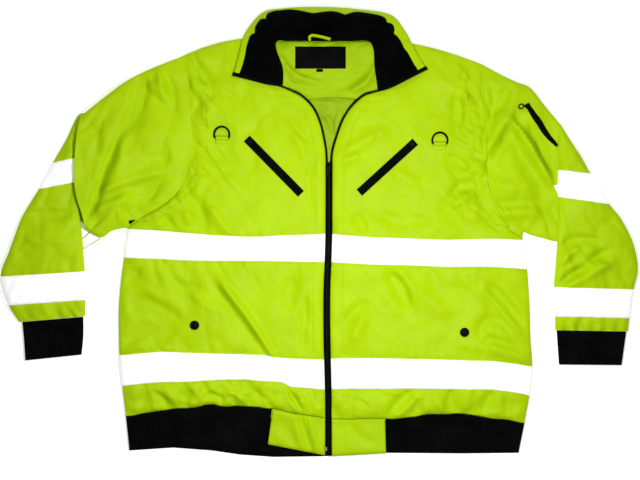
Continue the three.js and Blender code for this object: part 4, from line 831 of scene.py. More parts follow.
# Slot, material name, darker and lighter colour, roughness, thread in mm, sheen, crinkles in mm, gloss
WOVEN = {
    "cloth": ("cloth", "cloth_yellow", (0.37, 0.565, 0.001), (0.405, 0.615, 0.001), 0.45, 0.8),
    # The facing is the same cloth with its colours made about 0.86 times as bright: painted shade for the
    # collar's shadow over the facing
    "facing": ("cloth", "facing_yellow_painted_shade", (0.32, 0.49, 0.002), (0.355, 0.545, 0.003), 0.5, 0.8),
    "lining": ("lining", "lining_green", (0.27, 0.42, 0.006), (0.31, 0.47, 0.008), 0.5, 0.6),
    "tape": ("reflective_tape", "tape_reflective", TAPE_DARK, TAPE_LIGHT, 0.4, 0.7, 0.0, 0.1),
    "rib": ("rib_knit", "rib_black", BLACK, CHARCOAL, 0.9, 1.6, 0.01, 0.5, 0.03),
    "fleece": ("fleece", "fleece_black", PILE_DARK, PILE_LIGHT, 1.0, 1.1, 0.01, 1.2, 0.02),
    "zip": ("zip_tape", "zip_tape_black", BLACK, CHARCOAL, 0.7, 0.9, 0.0, 0.25, 0.02),
    "label": ("dark_woven_trim", "label_black", BLACK, CHARCOAL, 0.7, 0.7, 0.0, 0.25, 0.03),
    "teeth": ("zip_tape", "teeth_black", BLACK, CHARCOAL, 0.45, 0.6, 0.0, 0.25, 0.08),
    "white_stitch": ("reflective_tape", "stitch_white", (0.80, 0.80, 0.80), (0.9, 0.9, 0.9), 0.6, 0.5),
    "stitch": ("cloth", "stitch_yellow", (0.33, 0.53, 0.002), (0.40, 0.62, 0.003), 0.5, 0.5),
}
# Slot, material name, colour, roughness, metallic
METALS = {
    "dark_metal": ("dark_metal", "metal_black", (0.0012, 0.0012, 0.0013), 0.5, 0.0),
    "bright_metal": ("bright_metal", "metal_silver", (0.14, 0.14, 0.13), 0.4, 1.0),
}
WHITE = (1, 1, 1, 1)
# Painted glow: the tape emits a little white light of its own, a painted reflection that keeps it white away
# from the key light
TAPE_PAINTED_GLOW = 0.2
MATERIALS = {finish: woven(*look) for finish, (_, *look) in WOVEN.items()}
MATERIALS |= {finish: metal(*look) for finish, (_, *look) in METALS.items()}
tape_tree = MATERIALS["tape"].node_tree
feed(tape_tree, tape_tree.nodes["Principled BSDF"], Emission_Color=WHITE, Emission_Strength=TAPE_PAINTED_GLOW)


def dress(piece, finish, *nodes, body="root"):
    piece.data.materials.clear()
    piece.data.materials.append(MATERIALS[finish])
    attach(piece, body)
    if nodes:
        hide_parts(*nodes)


# A sheet in the place of a node of the part, kept as a surface for later pieces to lie on
def cover(name, ending, top, bottom, finish, replaces=True):
    surface(name, top)
    dress(slab(f"{name}_{ending}", top, bottom), finish, *([name] if replaces else []))


# Back: stretches of rows, closer at the tapes' edges, and columns that are closer at the sides
BACK_ROWS = ((0, 13.8, 56), (13.9, 15.1, 13), (15.3, 18.8, 14), (18.9, 20.1, 13), (20.3, 22, 14))
BACK_EDGE = np.array([0, 0.002, 0.006, 0.012, 0.02])
BACK_TAPE = {"high": 0.9, "low": 0.1}
FIRST_ROW = {"chest": 14, "waist": 19}
back_s = np.concatenate([np.linspace(*stretch) for stretch in BACK_ROWS])[:, None]
back_w = np.concatenate([BACK_EDGE, np.linspace(0.035, 0.965, 70), 1 - BACK_EDGE[::-1]])[None, :]
x, y, low, high = back_point(back_s, back_w)
cover("back", "cloth", xyz(x, y, high), xyz(x, y, low), "cloth")
for label, first in FIRST_ROW.items():
    x, y, _, _ = back_point(np.linspace(first, first + 1, 5)[:, None], back_w)
    cover(f"tape_{label}_back", "strip", xyz(x, y, BACK_TAPE["high"]), xyz(x, y, BACK_TAPE["low"]), "tape")

# Fronts: columns at these distances from the zip and from the side, and more between
NEAR_ZIP = np.array([0, 0.6, 1.6, 3, 5, 7.5, 10.5, 14, 17, 19, 21])
NEAR_SIDE = np.array([24, 20, 16.5, 13, 10, 7, 4.5, 2.5, 1, 0])
BETWEEN = 108
FRONT_STEP = 3.0
FRONT_ROWS = np.unique(
    np.concatenate(
        [
            np.arange(0, LAST_ROW + 1e-6, FRONT_STEP / ROW_PITCH),
            [0.02, 0.06, 21.94, 21.98, LAST_ROW],
            np.arange(13.8, 15.3, 0.05),
            np.arange(18.8, 20.3, 0.05),
        ]
    )
)


def front_grid(side, rows):
    length = width_of(column_at(FRONT[side], rows))
    near, far = NEAR_ZIP + length * 0, length - NEAR_SIDE
    middle = np.linspace(near[:, -1], far[:, 0], BETWEEN, axis=1)[:, 1:-1]
    return front_point(side, rows[:, None], np.concatenate([near, middle, far], axis=1) / length)


# Points of a front at distances from its zip edge, or from its side
def front_span(side, rows, distances, from_side=False):
    away = np.asarray(distances) / width_of(column_at(FRONT[side], rows))
    return front_point(side, rows[:, None], 1 - away if from_side else away)


for side in SIDES:
    x, y, low, high = front_grid(side, FRONT_ROWS)
    cover("front_" + side, "cloth", xyz(x, y, high), xyz(x, y, low), "cloth")

# Reflective tape on the fronts
TAPE = {"foot": 0.1, "thick": 0.6, "swell": 0.7, "arm_swell": 0.5, "floor": 0.05}
for side in SIDES:
    for label, first in FIRST_ROW.items():
        rows = np.linspace(first, first + 1, 15)
        x, y, _, high = front_grid(side, rows)
        swell = TAPE["swell"] * np.sin(math.pi * (rows[:, None] - first)) ** 0.7
        top = xyz(x, y, high + GAP + TAPE["thick"] + swell)
        cover(f"tape_{label}_{side}", "strip", top, xyz(x, y, high + TAPE["foot"]), "tape")

# Inside of the back that shows in the neck: the facing's foot arches up and lies on the lining
FACING_ARCH = {"y": 228.5, "rise": 4.5, "reach": 15}
INSIDE = {"foot": 0.2, "least": 0.7, "tucked": 0.8, "tuck": 9, "padded": 3.0, "folds": 3.8}
for label, rows, finish in (("back_facing", NECK_FACING, "facing"), ("back_lining", NECK_LINING, "lining")):
    line = np.linspace(rows["y"][0], rows["y"][-1], 40)[:, None]
    t = np.linspace(0, 1, 60)[None, :]
    x = mix(*(np.interp(-line, -rows["y"], rows[end]) for end in ("left", "right")), t)
    arch = FACING_ARCH["rise"] * np.sin(math.pi * t) ** 2
    y = line + arch * bell(line - FACING_ARCH["y"], FACING_ARCH["reach"])
    base = rest_grid(["back"], x, y)
    high = base + INSIDE["padded"] + 3.0 * facets(x, y, 36, 91) + 1.7 * drag(x, y, 20, 17, 3, 93)
    high = high + INSIDE["folds"] * relief(NECK_FOLDS, x, y) * fullness(to_ends(t) * 120, 20)
    if label == "back_lining":
        under_foot = ramp(line, FACING_ARCH["y"] - INSIDE["tuck"], FACING_ARCH["y"])
        high = mix(high, base + INSIDE["tucked"], under_foot)
    top = xyz(x, y, np.maximum(high, base + INSIDE["least"]))
    cover(label, "cloth", top, xyz(x, y, base + INSIDE["foot"]), finish)

# Sleeves
RING_SHARES = (1 - np.cos(np.linspace(0, math.pi, 60))) / 2
SLEEVE_WALL = {"side": 8, "slit": 0.8, "middle": 0.45, "top": 13, "bottom": 9, "least": 1.2, "inset": 0.3}
TAPE_STEP = 0.05
# The first seed of each sleeve's relief, and the direction of its long creases in degrees
SLEEVE_GRAIN = {"right": (131, 62), "left": (157, -62)}
UPPER_SEED = 40
# Millimetres to a ring at a tape, at the cuff and at the armhole, and along the armhole
RING_PITCH = {"tape": 45, "cuff": 30, "armhole": 34}
ARMHOLE_LENGTH = 320


def armhole_bend(side, t):
    first, at, last = (row_at(FRONT[side], s) for s in (0.0, t * ARMPIT_ROW, float(ARMPIT_ROW)))
    return at["ox"] - mix(first["ox"], last["ox"], t), at["oy"] - mix(first["oy"], last["oy"], t)


# Closed rings from their upper and lower halves
def ring_of(upper, lower):
    return np.concatenate([upper, lower[:, -2:0:-1]], axis=1)


# The inside of a flattened tube: a slit at the middle height that closes at both edges
def hollow(place_at, t, inset, middle, slit):
    x, y = place_at(mix(inset, 1 - inset, t))
    half = slit / 2 * np.where((t == 0) | (t == 1), 0, 1)
    return ring_of(xyz(x, y, middle + half), xyz(x, y, middle - half))


def sleeve_rings(side, stations, steps, tapes=()):
    ring = column_at(stations, steps)
    is_upper = "bend" in ring
    s, t = steps[:, None], RING_SHARES[None, :]
    width = width_of(ring)
    middle = ring["high"] * SLEEVE_WALL["middle"]
    spans = [between(s, a - TAPE_STEP, a, b, b + TAPE_STEP) for a, b in tapes]
    recess = UNDERSIDE["recess"] * sum(spans, s * 0)

    def place_at(t):
        bx, by = (b * ring["bend"] for b in armhole_bend(side, t)) if is_upper else (0, 0)
        return mix(ring["ox"], ring["ix"], t) + bx, mix(ring["oy"], ring["iy"], t) + by

    x, y = place_at(t)
    to_edge = to_ends(t) * width
    crown = 0.84 + 0.16 * np.sin(math.pi * t)
    seed, turn = SLEEVE_GRAIN[side]
    seed += UPPER_SEED if is_upper else 0
    start = 0.25 + 0.75 * np.minimum(s, 1) if is_upper else 1
    open_cloth = calm(x, y)
    detail = 2.6 * facets(x, y, 50, seed) + 1.6 * facets(x, y, 23, seed + 3)
    detail = detail + 2.0 * drag(x, y, turn, 22, 3, seed + 5)
    detail = (detail + sleeve_detail(stations, s, t, width, tapes, seed)) * open_cloth
    folds = relief(SLEEVE_FOLDS, x, y) * (1 + 2 * FOLD_BOOST * open_cloth)
    full = ring["high"] * crown + (folds + detail) * start * fullness(to_edge, 26)
    full = np.maximum(full, middle + SLEEVE_WALL["least"])
    upper = xyz(x, y, middle + (full - middle) * fullness(to_edge, SLEEVE_WALL["top"]))
    lower = xyz(x, y, np.maximum(middle * (1 - fullness(to_edge, SLEEVE_WALL["bottom"])), recess))
    inset = np.minimum(SLEEVE_WALL["inset"], SLEEVE_WALL["side"] / width)
    return ring_of(upper, lower), hollow(place_at, t, inset, middle, SLEEVE_WALL["slit"])


# Puckers at the tapes' edges, at the cuff, and at the armhole
def sleeve_detail(stations, s, t, width, tapes, seed):
    total = s * 0 + t * 0
    for edge in np.ravel(tapes):
        away = np.abs(s - edge) * RING_PITCH["tape"]
        total = total - 0.9 * bell(away, 3.5) + pucker(t * width, away, 12, 17, 0.5, seed + int(edge))
    if "bend" in stations:
        round_it, away = t * ARMHOLE_LENGTH, s * RING_PITCH["armhole"]
        total = total + pucker(round_it, away, 34, 24, 2.4, seed + 29)
        return total + 2.0 * facets(round_it, away, 17, seed + 33) * bell(away, 34)
    to_cuff = (len(stations["ox"]) - 1 - s) * RING_PITCH["cuff"]
    total = total + pucker(t * width, to_cuff, 24, 24, 2.4, seed + 9)
    return total + pucker(t * width, to_cuff, 12, 11, 0.8, seed + 19)


def offset_rings(rings, by):
    around = np.roll(rings, -1, axis=1) - np.roll(rings, 1, axis=1)
    along = np.gradient(rings, axis=0)
    normal = np.cross(around, along)
    normal /= np.maximum(np.linalg.norm(normal, axis=2, keepdims=True), 1e-9)
    outward = rings - rings.mean(axis=1, keepdims=True)
    if np.sum(normal * outward) < 0:
        normal = -normal
    return rings + normal * by


def join(name, parts):
    bpy.ops.object.select_all(action="DESELECT")
    for part in parts:
        part.select_set(True)
    bpy.context.view_layer.objects.active = parts[0]
    bpy.ops.object.join()
    parts[0].name = name
    parts[0].data.name = name
    return parts[0]


FOLD_X = -420
# The columns of the rings that an upper tape covers, counted from the outer edge: under the arm and over it
UPPER_TAPE_COLUMNS = {"right": (-54, 52), "left": (-54, 59)}
for side in SIDES:
    tapes = list(ARM_TAPES[side].values())
    edges = [step for a, b in tapes for step in (a - TAPE_STEP, a, b, b + TAPE_STEP)]
    upper_steps = np.linspace(0, len(UPPER_SLEEVE[side]["ox"]) - 1, 90)
    lower_steps = np.linspace(0, len(LOWER_SLEEVE[side]["ox"]) - 1, 130)
    lower_steps = np.unique(np.concatenate([lower_steps, edges]))
    lengths = []
    for label, stations, steps, taped in (
        ("upper", UPPER_SLEEVE, upper_steps, ()),
        ("lower", LOWER_SLEEVE, lower_steps, tapes),
    ):
        outer, inner = sleeve_rings(side, stations[side], steps, taped)
        surface(f"{label}_sleeve_{side}", outer[:, : len(RING_SHARES)])
        lengths.append(tube(f"{label}_{side}", outer, inner))
    dress(join(f"sleeve_{side}_cloth", lengths), "cloth", "sleeve_" + side)
    for label, (a, b) in ARM_TAPES[side].items():
        steps = np.linspace(a, b, 12)
        rings, _ = sleeve_rings(side, LOWER_SLEEVE[side], steps, tapes)
        swell = TAPE["arm_swell"] * np.sin(math.pi * (steps - a) / (b - a))[:, None, None]
        face = offset_rings(rings, GAP + TAPE["thick"] + swell)
        under = offset_rings(rings, TAPE["foot"])
        face[..., 2] = np.maximum(face[..., 2], TAPE["floor"])
        under[..., 2] = np.maximum(under[..., 2], TAPE["foot"])
        name = f"tape_arm_{label}_{side}"
        surface(name, face)
        if label == "lower":
            dress(tube(name + "_strip", face, under), "tape", name)
            continue
        first, last = UPPER_TAPE_COLUMNS[side]
        columns_shown = np.arange(first, last + 1) % rings.shape[1]
        face, under = face[:, columns_shown], under[:, columns_shown]
        if side == "right":
            for grid in (face, under):
                grid[..., 0] = np.minimum(grid[..., 0], FOLD_X + 4)
        dress(slab(name + "_strip", face, under), "tape", name)

# Armhole flaps, which cover the join of sleeve and front: the distance in from the armhole and the height
FLAP = columns(
    "inward high",
    (20, 0),
    (19.6, 0.5),
    (18.6, 0.85),
    (16, 1),
    (12, 1),
    (8, 1),
    (4, 1),
    (1, 1),
    (-1.5, 0.95),
    (-3.4, 0.8),
    (-4.2, 0.45),
    (-4.6, 0),
)
FLAP_END = {"right": 13, "left": 12.5}
FLAP_EDGE = {"round": 8, "sunk": 0.35, "foot": 0.8, "least": 0.3}
for side in SIDES:
    rows = np.linspace(0.05, FLAP_END[side], 150)
    x, y, _, _ = front_span(side, rows, FLAP["inward"], from_side=True)
    base = rest_grid(["front_" + side, "upper_sleeve_" + side], x, y, reach=1.2)
    edge = FLAP["high"]
    for to_end in (rows - rows[0], rows[-1] - rows):
        edge = edge * fullness(to_end * ROW_PITCH, FLAP_EDGE["round"])[:, None]
    wave = 0.8 * noise(y, x * 0, 19, 71) + 1.1 * facets(x, y, 13, 73)
    high = base - FLAP_EDGE["sunk"] + edge * np.maximum(0.9 + wave * 0.8, FLAP_EDGE["least"])
    cover("armhole_flap_" + side, "strip", xyz(x, y, high), xyz(x, y, base - FLAP_EDGE["foot"]), "cloth")


# The corner of cloth under the right elbow, with the tape that shows on it in two layers
def patch(corners, rows, across):
    p, q, r, s = (np.array(c, dtype=float) for c in corners)
    v, u = np.linspace(0, 1, rows)[:, None, None], np.linspace(0, 1, across)[None, :, None]
    flat = mix(mix(p, q, u), mix(s, r, u), v)
    return flat[..., 0], flat[..., 1]


def flat_patch(name, corners, steps, low, high):
    x, y = patch(corners, steps, steps)
    return slab(name, xyz(x, y, high), xyz(x, y, low))


ELBOW_CORNER = [(-413, 52), (-396, 26), (-374.4, -10), (-405.4, -29)]
ELBOW_TAPE = [(-391, 2.4), (-376.2, -9), (-404, -26.5), (-407, -12)]
ELBOW_TAPE_TURN = [(-411, 23), (-401.5, 14), (-392.5, 4), (-409, -12)]
dress(flat_patch("elbow_corner_cloth", ELBOW_CORNER, 12, 0.02, 4), "cloth")
layers = [
    flat_patch("tape_elbow_turn", ELBOW_TAPE_TURN, 8, 4.2, 4.9),
    flat_patch("tape_elbow_corner", ELBOW_TAPE, 8, 5.3, 6.3),
]
dress(join("tape_elbow_right_strip", layers), "tape", "tape_elbow_right")

# Cuffs
CUFF = {"high": 8.4, "side": 3.2, "slit": 0.6, "rib": 4, "relief": 0.55, "edge": 0.06, "columns": 140}


def cuff_rings(side):
    ring = column_at(CUFFS[side], np.linspace(0, 2, 14))
    width = width_of(ring)
    middle = CUFF["high"] / 2
    near = (1 - np.cos(np.linspace(0, math.pi, 9))) / 2 * CUFF["edge"]
    ribbed = np.linspace(CUFF["edge"], 1 - CUFF["edge"], CUFF["columns"])[1:-1]
    t = np.concatenate([near, ribbed, 1 - near[::-1]])[None, :]
    to_edge = to_ends(t) * width
    ribs = CUFF["relief"] * np.sin(2 * math.pi * t * width[0] / CUFF["rib"])
    half = middle * fullness(to_edge, middle) - CUFF["relief"] + ribs * fullness(to_edge, 3)
    half = np.maximum(half, 0)

    def place_at(t):
        return mix(ring["ox"], ring["ix"], t), mix(ring["oy"], ring["iy"], t)

    x, y = place_at(t)
    outer = ring_of(xyz(x, y, middle + half), xyz(x, y, middle - half))
    return outer, hollow(place_at, t, CUFF["side"] / width, middle, CUFF["slit"])


for side in SIDES:
    dress(tube(f"cuff_{side}_rib", *cuff_rings(side)), "rib", "cuff_" + side)

# Waist ribs and hem tabs: a tab's share of the front's width, and its foot's inner and outer corners
RIB = {"thickness": 3.2, "pitch": 4.2, "relief": 0.5, "length": 60}
HEM_TABS = {
    "right": {"share": 0.262, "inner": (11.2, -382), "outer": (-87, -363)},
    "left": {"share": 0.276, "inner": (23.2, -383.5), "outer": (116, -378.4)},
}
TAB_THICKNESS = 3.8
TAB_SPLAY = 4.8
FRONT_RIB_RISE = 1.5
UNDER_RIB = 3.5
# The waist's sides, and those of the rib's foot, which is drawn in
WAIST_SIDES = (-331, 353)
RIB_SIDES = (-325, 343)


def rib_hem(x):
    return np.interp(x, RIB_HEM["x"], RIB_HEM["y"])


def rib_inset(x):
    return mix(*RIB_SIDES, (x - WAIST_SIDES[0]) / (WAIST_SIDES[1] - WAIST_SIDES[0]))


TAB_FOLDS = columns(
    FOLD_COLUMNS,
    (-44, -314, -34, -345, -22, -378, 2.8, 6, 0.4),
    (-30, -314, -21, -345, -9, -378, -5, 5, 0.8),
    (-15, -314, -9, -345, 0, -378, 4, 5, 0.3),
    (-66, -326, -50, -345, -40, -368, -2.2, 9, 0.4),
    (-80, -338, -66, -352, -58, -362, 1.8, 7, 0),
    (36, -322, 44, -346, 40, -372, -2.2, 7, 0.4),
    (52, -326, 68, -346, 96, -360, -2.6, 9, 0.4),
)


# A band from the waist's edge down to its foot, ribbed or plain
def hem_band(name, finish, top, foot, thickness, on_back=True):
    v = np.linspace(0, 1, 12)[:, None]
    x, y = (mix(from_top[None, :], to_foot[None, :], v) for from_top, to_foot in zip(top, foot))
    low = x * 0
    if on_back:
        low = np.maximum(rest_grid(["back"], x, y, UNDER_RIB, 3) + GAP, UNDER_RIB)
    run = np.concatenate([[0], np.cumsum(np.hypot(*(np.diff(line) for line in top)))])[None, :]
    to_end = np.minimum(run, run[0, -1] - run)
    to_foot, to_top = (1 - v) * RIB["length"], v * RIB["length"]
    full = 0.55 + 0.45 * fullness(to_end, 5) * fullness(to_foot, 5) * fullness(to_top + 1, 6)
    if finish == "rib":
        wave = RIB["relief"] * np.sin(2 * math.pi * run / RIB["pitch"])
    else:
        wave = 0.9 * facets(x, y, 24, 211) + relief(TAB_FOLDS, x, y)
    stretch = 0.7 * noise(x, y * 0.3, 60, 213)
    high = low + thickness * full + (wave - RIB["relief"]) * fullness(to_end, 5)
    high = np.maximum(high + stretch * fullness(to_foot, 12), low + 0.6)
    ending = "knit" if finish == "rib" else "cloth"
    cover(name, ending, xyz(x, y, high), xyz(x, y, low), finish)


def waist_line(side, w):
    x, y, _, _ = front_point(side, LAST_ROW, w)
    return x, y - GAP


w = np.linspace(0, 1, 820)
x, y, _, _ = back_point(LAST_ROW, w)
foot = (rib_inset(x), rib_hem(rib_inset(x)))
hem_band("waist_rib_back", "rib", (x, y - GAP), foot, RIB["thickness"], on_back=False)
for side, tab in HEM_TABS.items():
    w = np.linspace(0, tab["share"], 40)
    foot = [mix(inner, outer, w / tab["share"]) for inner, outer in zip(tab["inner"], tab["outer"])]
    hem_band("hem_tab_" + side, "cloth", waist_line(side, w), foot, TAB_THICKNESS)
    w = np.linspace(tab["share"] + 0.004, 1, 360)
    ends = tab["outer"][0] + SIGN[side] * TAB_SPLAY, rib_inset(FRONT[side]["ox"][LAST_ROW])
    foot_x = mix(*ends, np.linspace(0, 1, len(w)))
    foot = (foot_x, rib_hem(foot_x) + FRONT_RIB_RISE)
    hem_band("waist_rib_" + side, "rib", waist_line(side, w), foot, RIB["thickness"])

# Collar
COLLAR_RESTS = ("front_right", "front_left", "back", "back_facing")
COLLAR_REACH = 4
COLLAR_GAP = 0.5
COLLAR_EDGE = 7
COLLAR_LENGTH = 60
collar_s = np.linspace(0, 10, 220)
stations = column_at(COLLAR, collar_s)


def collar_rest(x, y):
    return rest_grid(COLLAR_RESTS, x, y, reach=COLLAR_REACH) + COLLAR_GAP


neck_rest = collar_rest(stations["nx"], stations["ny"])
edge_rest = np.maximum(collar_rest(stations["ex"], stations["ey"]), COLLAR_EDGE)


def collar_sheet(t):
    x, y = mix(stations["nx"], stations["ex"], t), mix(stations["ny"], stations["ey"], t)
    arched = mix(neck_rest, edge_rest, t) + stations["arch"] * np.sin(math.pi * t)
    return x, y, np.maximum(arched, collar_rest(x, y))


t = np.linspace(0, 1, 26)[None, :]
x, y, under = collar_sheet(t)
rounding = fullness(to_ends(t) * COLLAR_LENGTH + 0.6, 3)
high = under + 1.2 + 1.2 * rounding + 0.3 * crumple(x, y, 26, 301)
cover("collar_shell", "cloth", xyz(x, y, high), xyz(x, y, under), "cloth")

# Notches in the fleece's edge: where along the collar, how deep, how wide
NOTCHES = columns(
    "at deep wide",
    (0.9, 0.03, 0.35),
    (2.2, 0.09, 0.13),
    (3.0, 0.12, 0.13),
    (4.85, 0.09, 0.34),
    (5.75, 0.13, 0.2),
    (7.15, 0.1, 0.16),
    (7.85, 0.06, 0.14),
    (8.8, 0.03, 0.3),
)
FLEECE = {"foot": 2.5, "base": 2.9, "high": 4.2, "least_share": 0.4, "most_share": 0.94}
share = stations["fleece"][:, 0] + 0.04 + 0.014 * noise(collar_s * 22, collar_s * 0, 11, 305)
for at, deep, wide in zip(*NOTCHES.values()):
    share = share - deep * np.exp(-np.abs((collar_s - at) / wide) ** 1.5)
share = np.clip(share, FLEECE["least_share"], FLEECE["most_share"])[:, None]
t = np.linspace(0, 1, 40)[None, :] * share
x, y, under = collar_sheet(t)
inner_edge = fullness(t * COLLAR_LENGTH + 0.5, 5)
outer_edge = fullness((share - t) * COLLAR_LENGTH + 0.5, 6)
pile = 0.6 * noise(x, y, 5, 311) + 0.4 * noise(x, y, 2.6, 313) + 1.6 * noise(x, y, 31, 315)
high = under + FLEECE["base"] + FLEECE["high"] * np.minimum(inner_edge, outer_edge) + pile * outer_edge
cover("collar_fleece", "pile", xyz(x, y, high), xyz(x, y, under + FLEECE["foot"]), "fleece")


# Strips laid over the cloth
def ribbon(line, width, across=3):
    line = np.array(line, dtype=float)
    way = np.gradient(line, axis=0)
    way /= np.linalg.norm(way, axis=1, keepdims=True)
    normal = np.stack([-way[:, 1], way[:, 0]], -1)
    sides = np.linspace(-0.5, 0.5, across)[None, :, None] * np.asarray(width).reshape(-1, 1, 1)
    flat = line[:, None, :] + normal[:, None, :] * sides
    return flat[..., 0], flat[..., 1]


def along(points, step):
    points = np.array(points, dtype=float)
    run = np.concatenate([[0], np.cumsum(np.hypot(*np.diff(points[:, :2], axis=0).T))])
    count = max(2, int(run[-1] / step) + 1)
    at = np.linspace(0, run[-1], count)
    return np.stack([np.interp(at, run, points[:, k]) for k in range(points.shape[1])], -1)


# A thin strip on the cloth, lower along its rim
def laid(name, x, y, rests, thickness, finish, reach=0.0, replaces=True):
    base = rest_grid(rests, x, y, reach=reach) + 0.15
    v, u = (np.minimum(np.arange(count), np.arange(count)[::-1]) for count in x.shape)
    inside = np.clip(np.minimum(u[None, :], v[:, None]), 0, 1)
    top = xyz(x, y, base + thickness * (0.45 + 0.55 * inside))
    cover(name, "laid", top, xyz(x, y, base), finish, replaces)


CHEST_ZIPS = {"right": [(-123, 162), (-30, 67)], "left": [(166, 156.5), (70, 69)]}
WELTS = {"right": [(-214, -62), (-210, -199)], "left": [(256, -68), (257, -207)]}
CHEST_ZIP_WIDTH = 14.2
WELT = {"width": 34, "columns": 17, "sunk": 0.3, "foot": 0.7}
WELT_PROUD = {"right": 2.0, "left": 1.0}
for side in SIDES:
    x, y = ribbon(along(CHEST_ZIPS[side], 3), CHEST_ZIP_WIDTH, 9)
    laid("chest_zip_" + side, x, y, ["front_" + side], 1.1, "zip")
    x, y = ribbon(along(WELTS[side], 3), WELT["width"], WELT["columns"])
    base = rest_grid(["front_" + side], x, y)
    u = np.linspace(0, 1, WELT["columns"])[None, :]
    v = np.linspace(0, 1, x.shape[0])[:, None]
    from_mouth = (1 - u if side == "right" else u) * WELT["width"]
    proud = fullness(from_mouth, 2.5) * (1 - ramp(from_mouth, 8, 30))
    proud = proud * between(v, 0, 0.08, 0.92, 1) * (0.85 + 0.35 * noise(y, x * 0, 23, 421))
    top = xyz(x, y, base - WELT["sunk"] + WELT_PROUD[side] * proud)
    cover("pocket_welt_" + side, "strip", top, xyz(x, y, base - WELT["foot"]), "cloth")

SLEEVE_ZIP = [
    (356, 218.5),
    (362, 213.5),
    (370.5, 200),
    (380, 187.5),
    (387.5, 175),
    (395.5, 164.5),
    (405, 155),
    (409.5, 149),
]
SLEEVE_ZIP_WIDTH = columns("at wide", (0, 7), (0.09, 8.5), (0.35, 11), (0.62, 10), (0.9, 7), (1, 4))
SLEEVE_LEFT = ["upper_sleeve_left", "lower_sleeve_left"]
line = along(SLEEVE_ZIP, 2.5)
x, y = ribbon(line, np.interp(np.linspace(0, 1, len(line)), *SLEEVE_ZIP_WIDTH.values()), 7)
laid("sleeve_zip", x, y, SLEEVE_LEFT, 1.2, "zip", reach=1.5)
ELBOW_TAPE_LEFT = [(403.5, 81), (412, 84), (413, 62), (409, 70)]
x, y = patch(ELBOW_TAPE_LEFT, 8, 6)
laid("tape_elbow_left", x, y, SLEEVE_LEFT, 0.8, "tape", reach=1, replaces=False)
ARMHOLE_ZIP_END = [(-325, 21.5), (-314, 22.7), (-321, 16.3), (-324.5, 15.5)]
x, y = patch(ARMHOLE_ZIP_END, 8, 8)
laid("armhole_zip_end", x, y, ["front_right", "upper_sleeve_right"], 1.3, "zip", reach=2)
NECK_LABEL = [(-40.1, 320), (46.9, 320), (46.9, 282), (-40.1, 282)]
SIZE_TAB = [(-3.5, 281.5), (7.5, 281.5), (7.5, 276.5), (-3.5, 276.5)]
for name, corners, steps in (("neck_label", NECK_LABEL, (14, 26)), ("size_tab", SIZE_TAB, (6, 8))):
    x, y = patch(corners, *steps)
    laid(name, x, y, ["back_facing"], 0.8, "label")
LOOP = [(-15, 329), (-15.5, 335.5), (-11, 338), (0, 336.5), (11, 334), (20.5, 331.5)]
x, y = ribbon(along(LOOP, 2), 4.5, 5)
laid("hang_loop", x, y, ["collar_fleece", "back_facing", "back"], 1.3, "cloth", reach=1)

# Centre zip
SLIDER_AT = (18, 117)
ZIP = {"closed": 5.7, "open": 3.1, "collar": 6.2, "thickness": 1.9, "climb": 15.6, "edge": 0.15}
TEETH = {"pitch": 2.6, "long": 1.5, "wide": 2.1, "high": 1.1}
ZIP_PROFILE = columns("share high", (0, 0.4), (0.12, 0.8), (0.5, 0.9), (0.85, 1), (1, 0.6))
CORNER_SMOOTHING = 7


# Many small closed blocks in one mesh, each with its middle, direction, length, width and height
def blocks(name, middles, ways, size, finish, *nodes, body="root", slopes=0.0):
    long, wide, high = size
    around = ((-1, -1), (1, -1), (1, 1), (-1, 1))
    corners = np.array([(a, b, c) for c in (0, 1) for a, b in around], dtype=float)
    corners[4:, :2] *= 0.7
    corners = corners * (long / 2, wide / 2, high)
    sides = np.array([(0, 3, 2, 1), (4, 5, 6, 7), (0, 1, 5, 4), (1, 2, 6, 5), (2, 3, 7, 6), (3, 0, 4, 7)])
    middles, ways = np.asarray(middles, dtype=float), np.asarray(ways, dtype=float)
    ways = ways / np.maximum(np.linalg.norm(ways, axis=1, keepdims=True), 1e-9)
    x = middles[:, :1] + corners[:, 0] * ways[:, :1] - corners[:, 1] * ways[:, 1:2]
    y = middles[:, 1:2] + corners[:, 0] * ways[:, 1:2] + corners[:, 1] * ways[:, :1]
    z = middles[:, 2:3] + corners[:, 2] + corners[:, 0] * np.reshape(slopes, (-1, 1))
    faces = (sides[None] + 8 * np.arange(len(middles))[:, None, None]).reshape(-1, 4)
    made = add_mesh(name, np.stack([x, y, z], -1).reshape(-1, 3), faces.tolist(), smooth=False)
    dress(made, finish, *nodes, body=body)


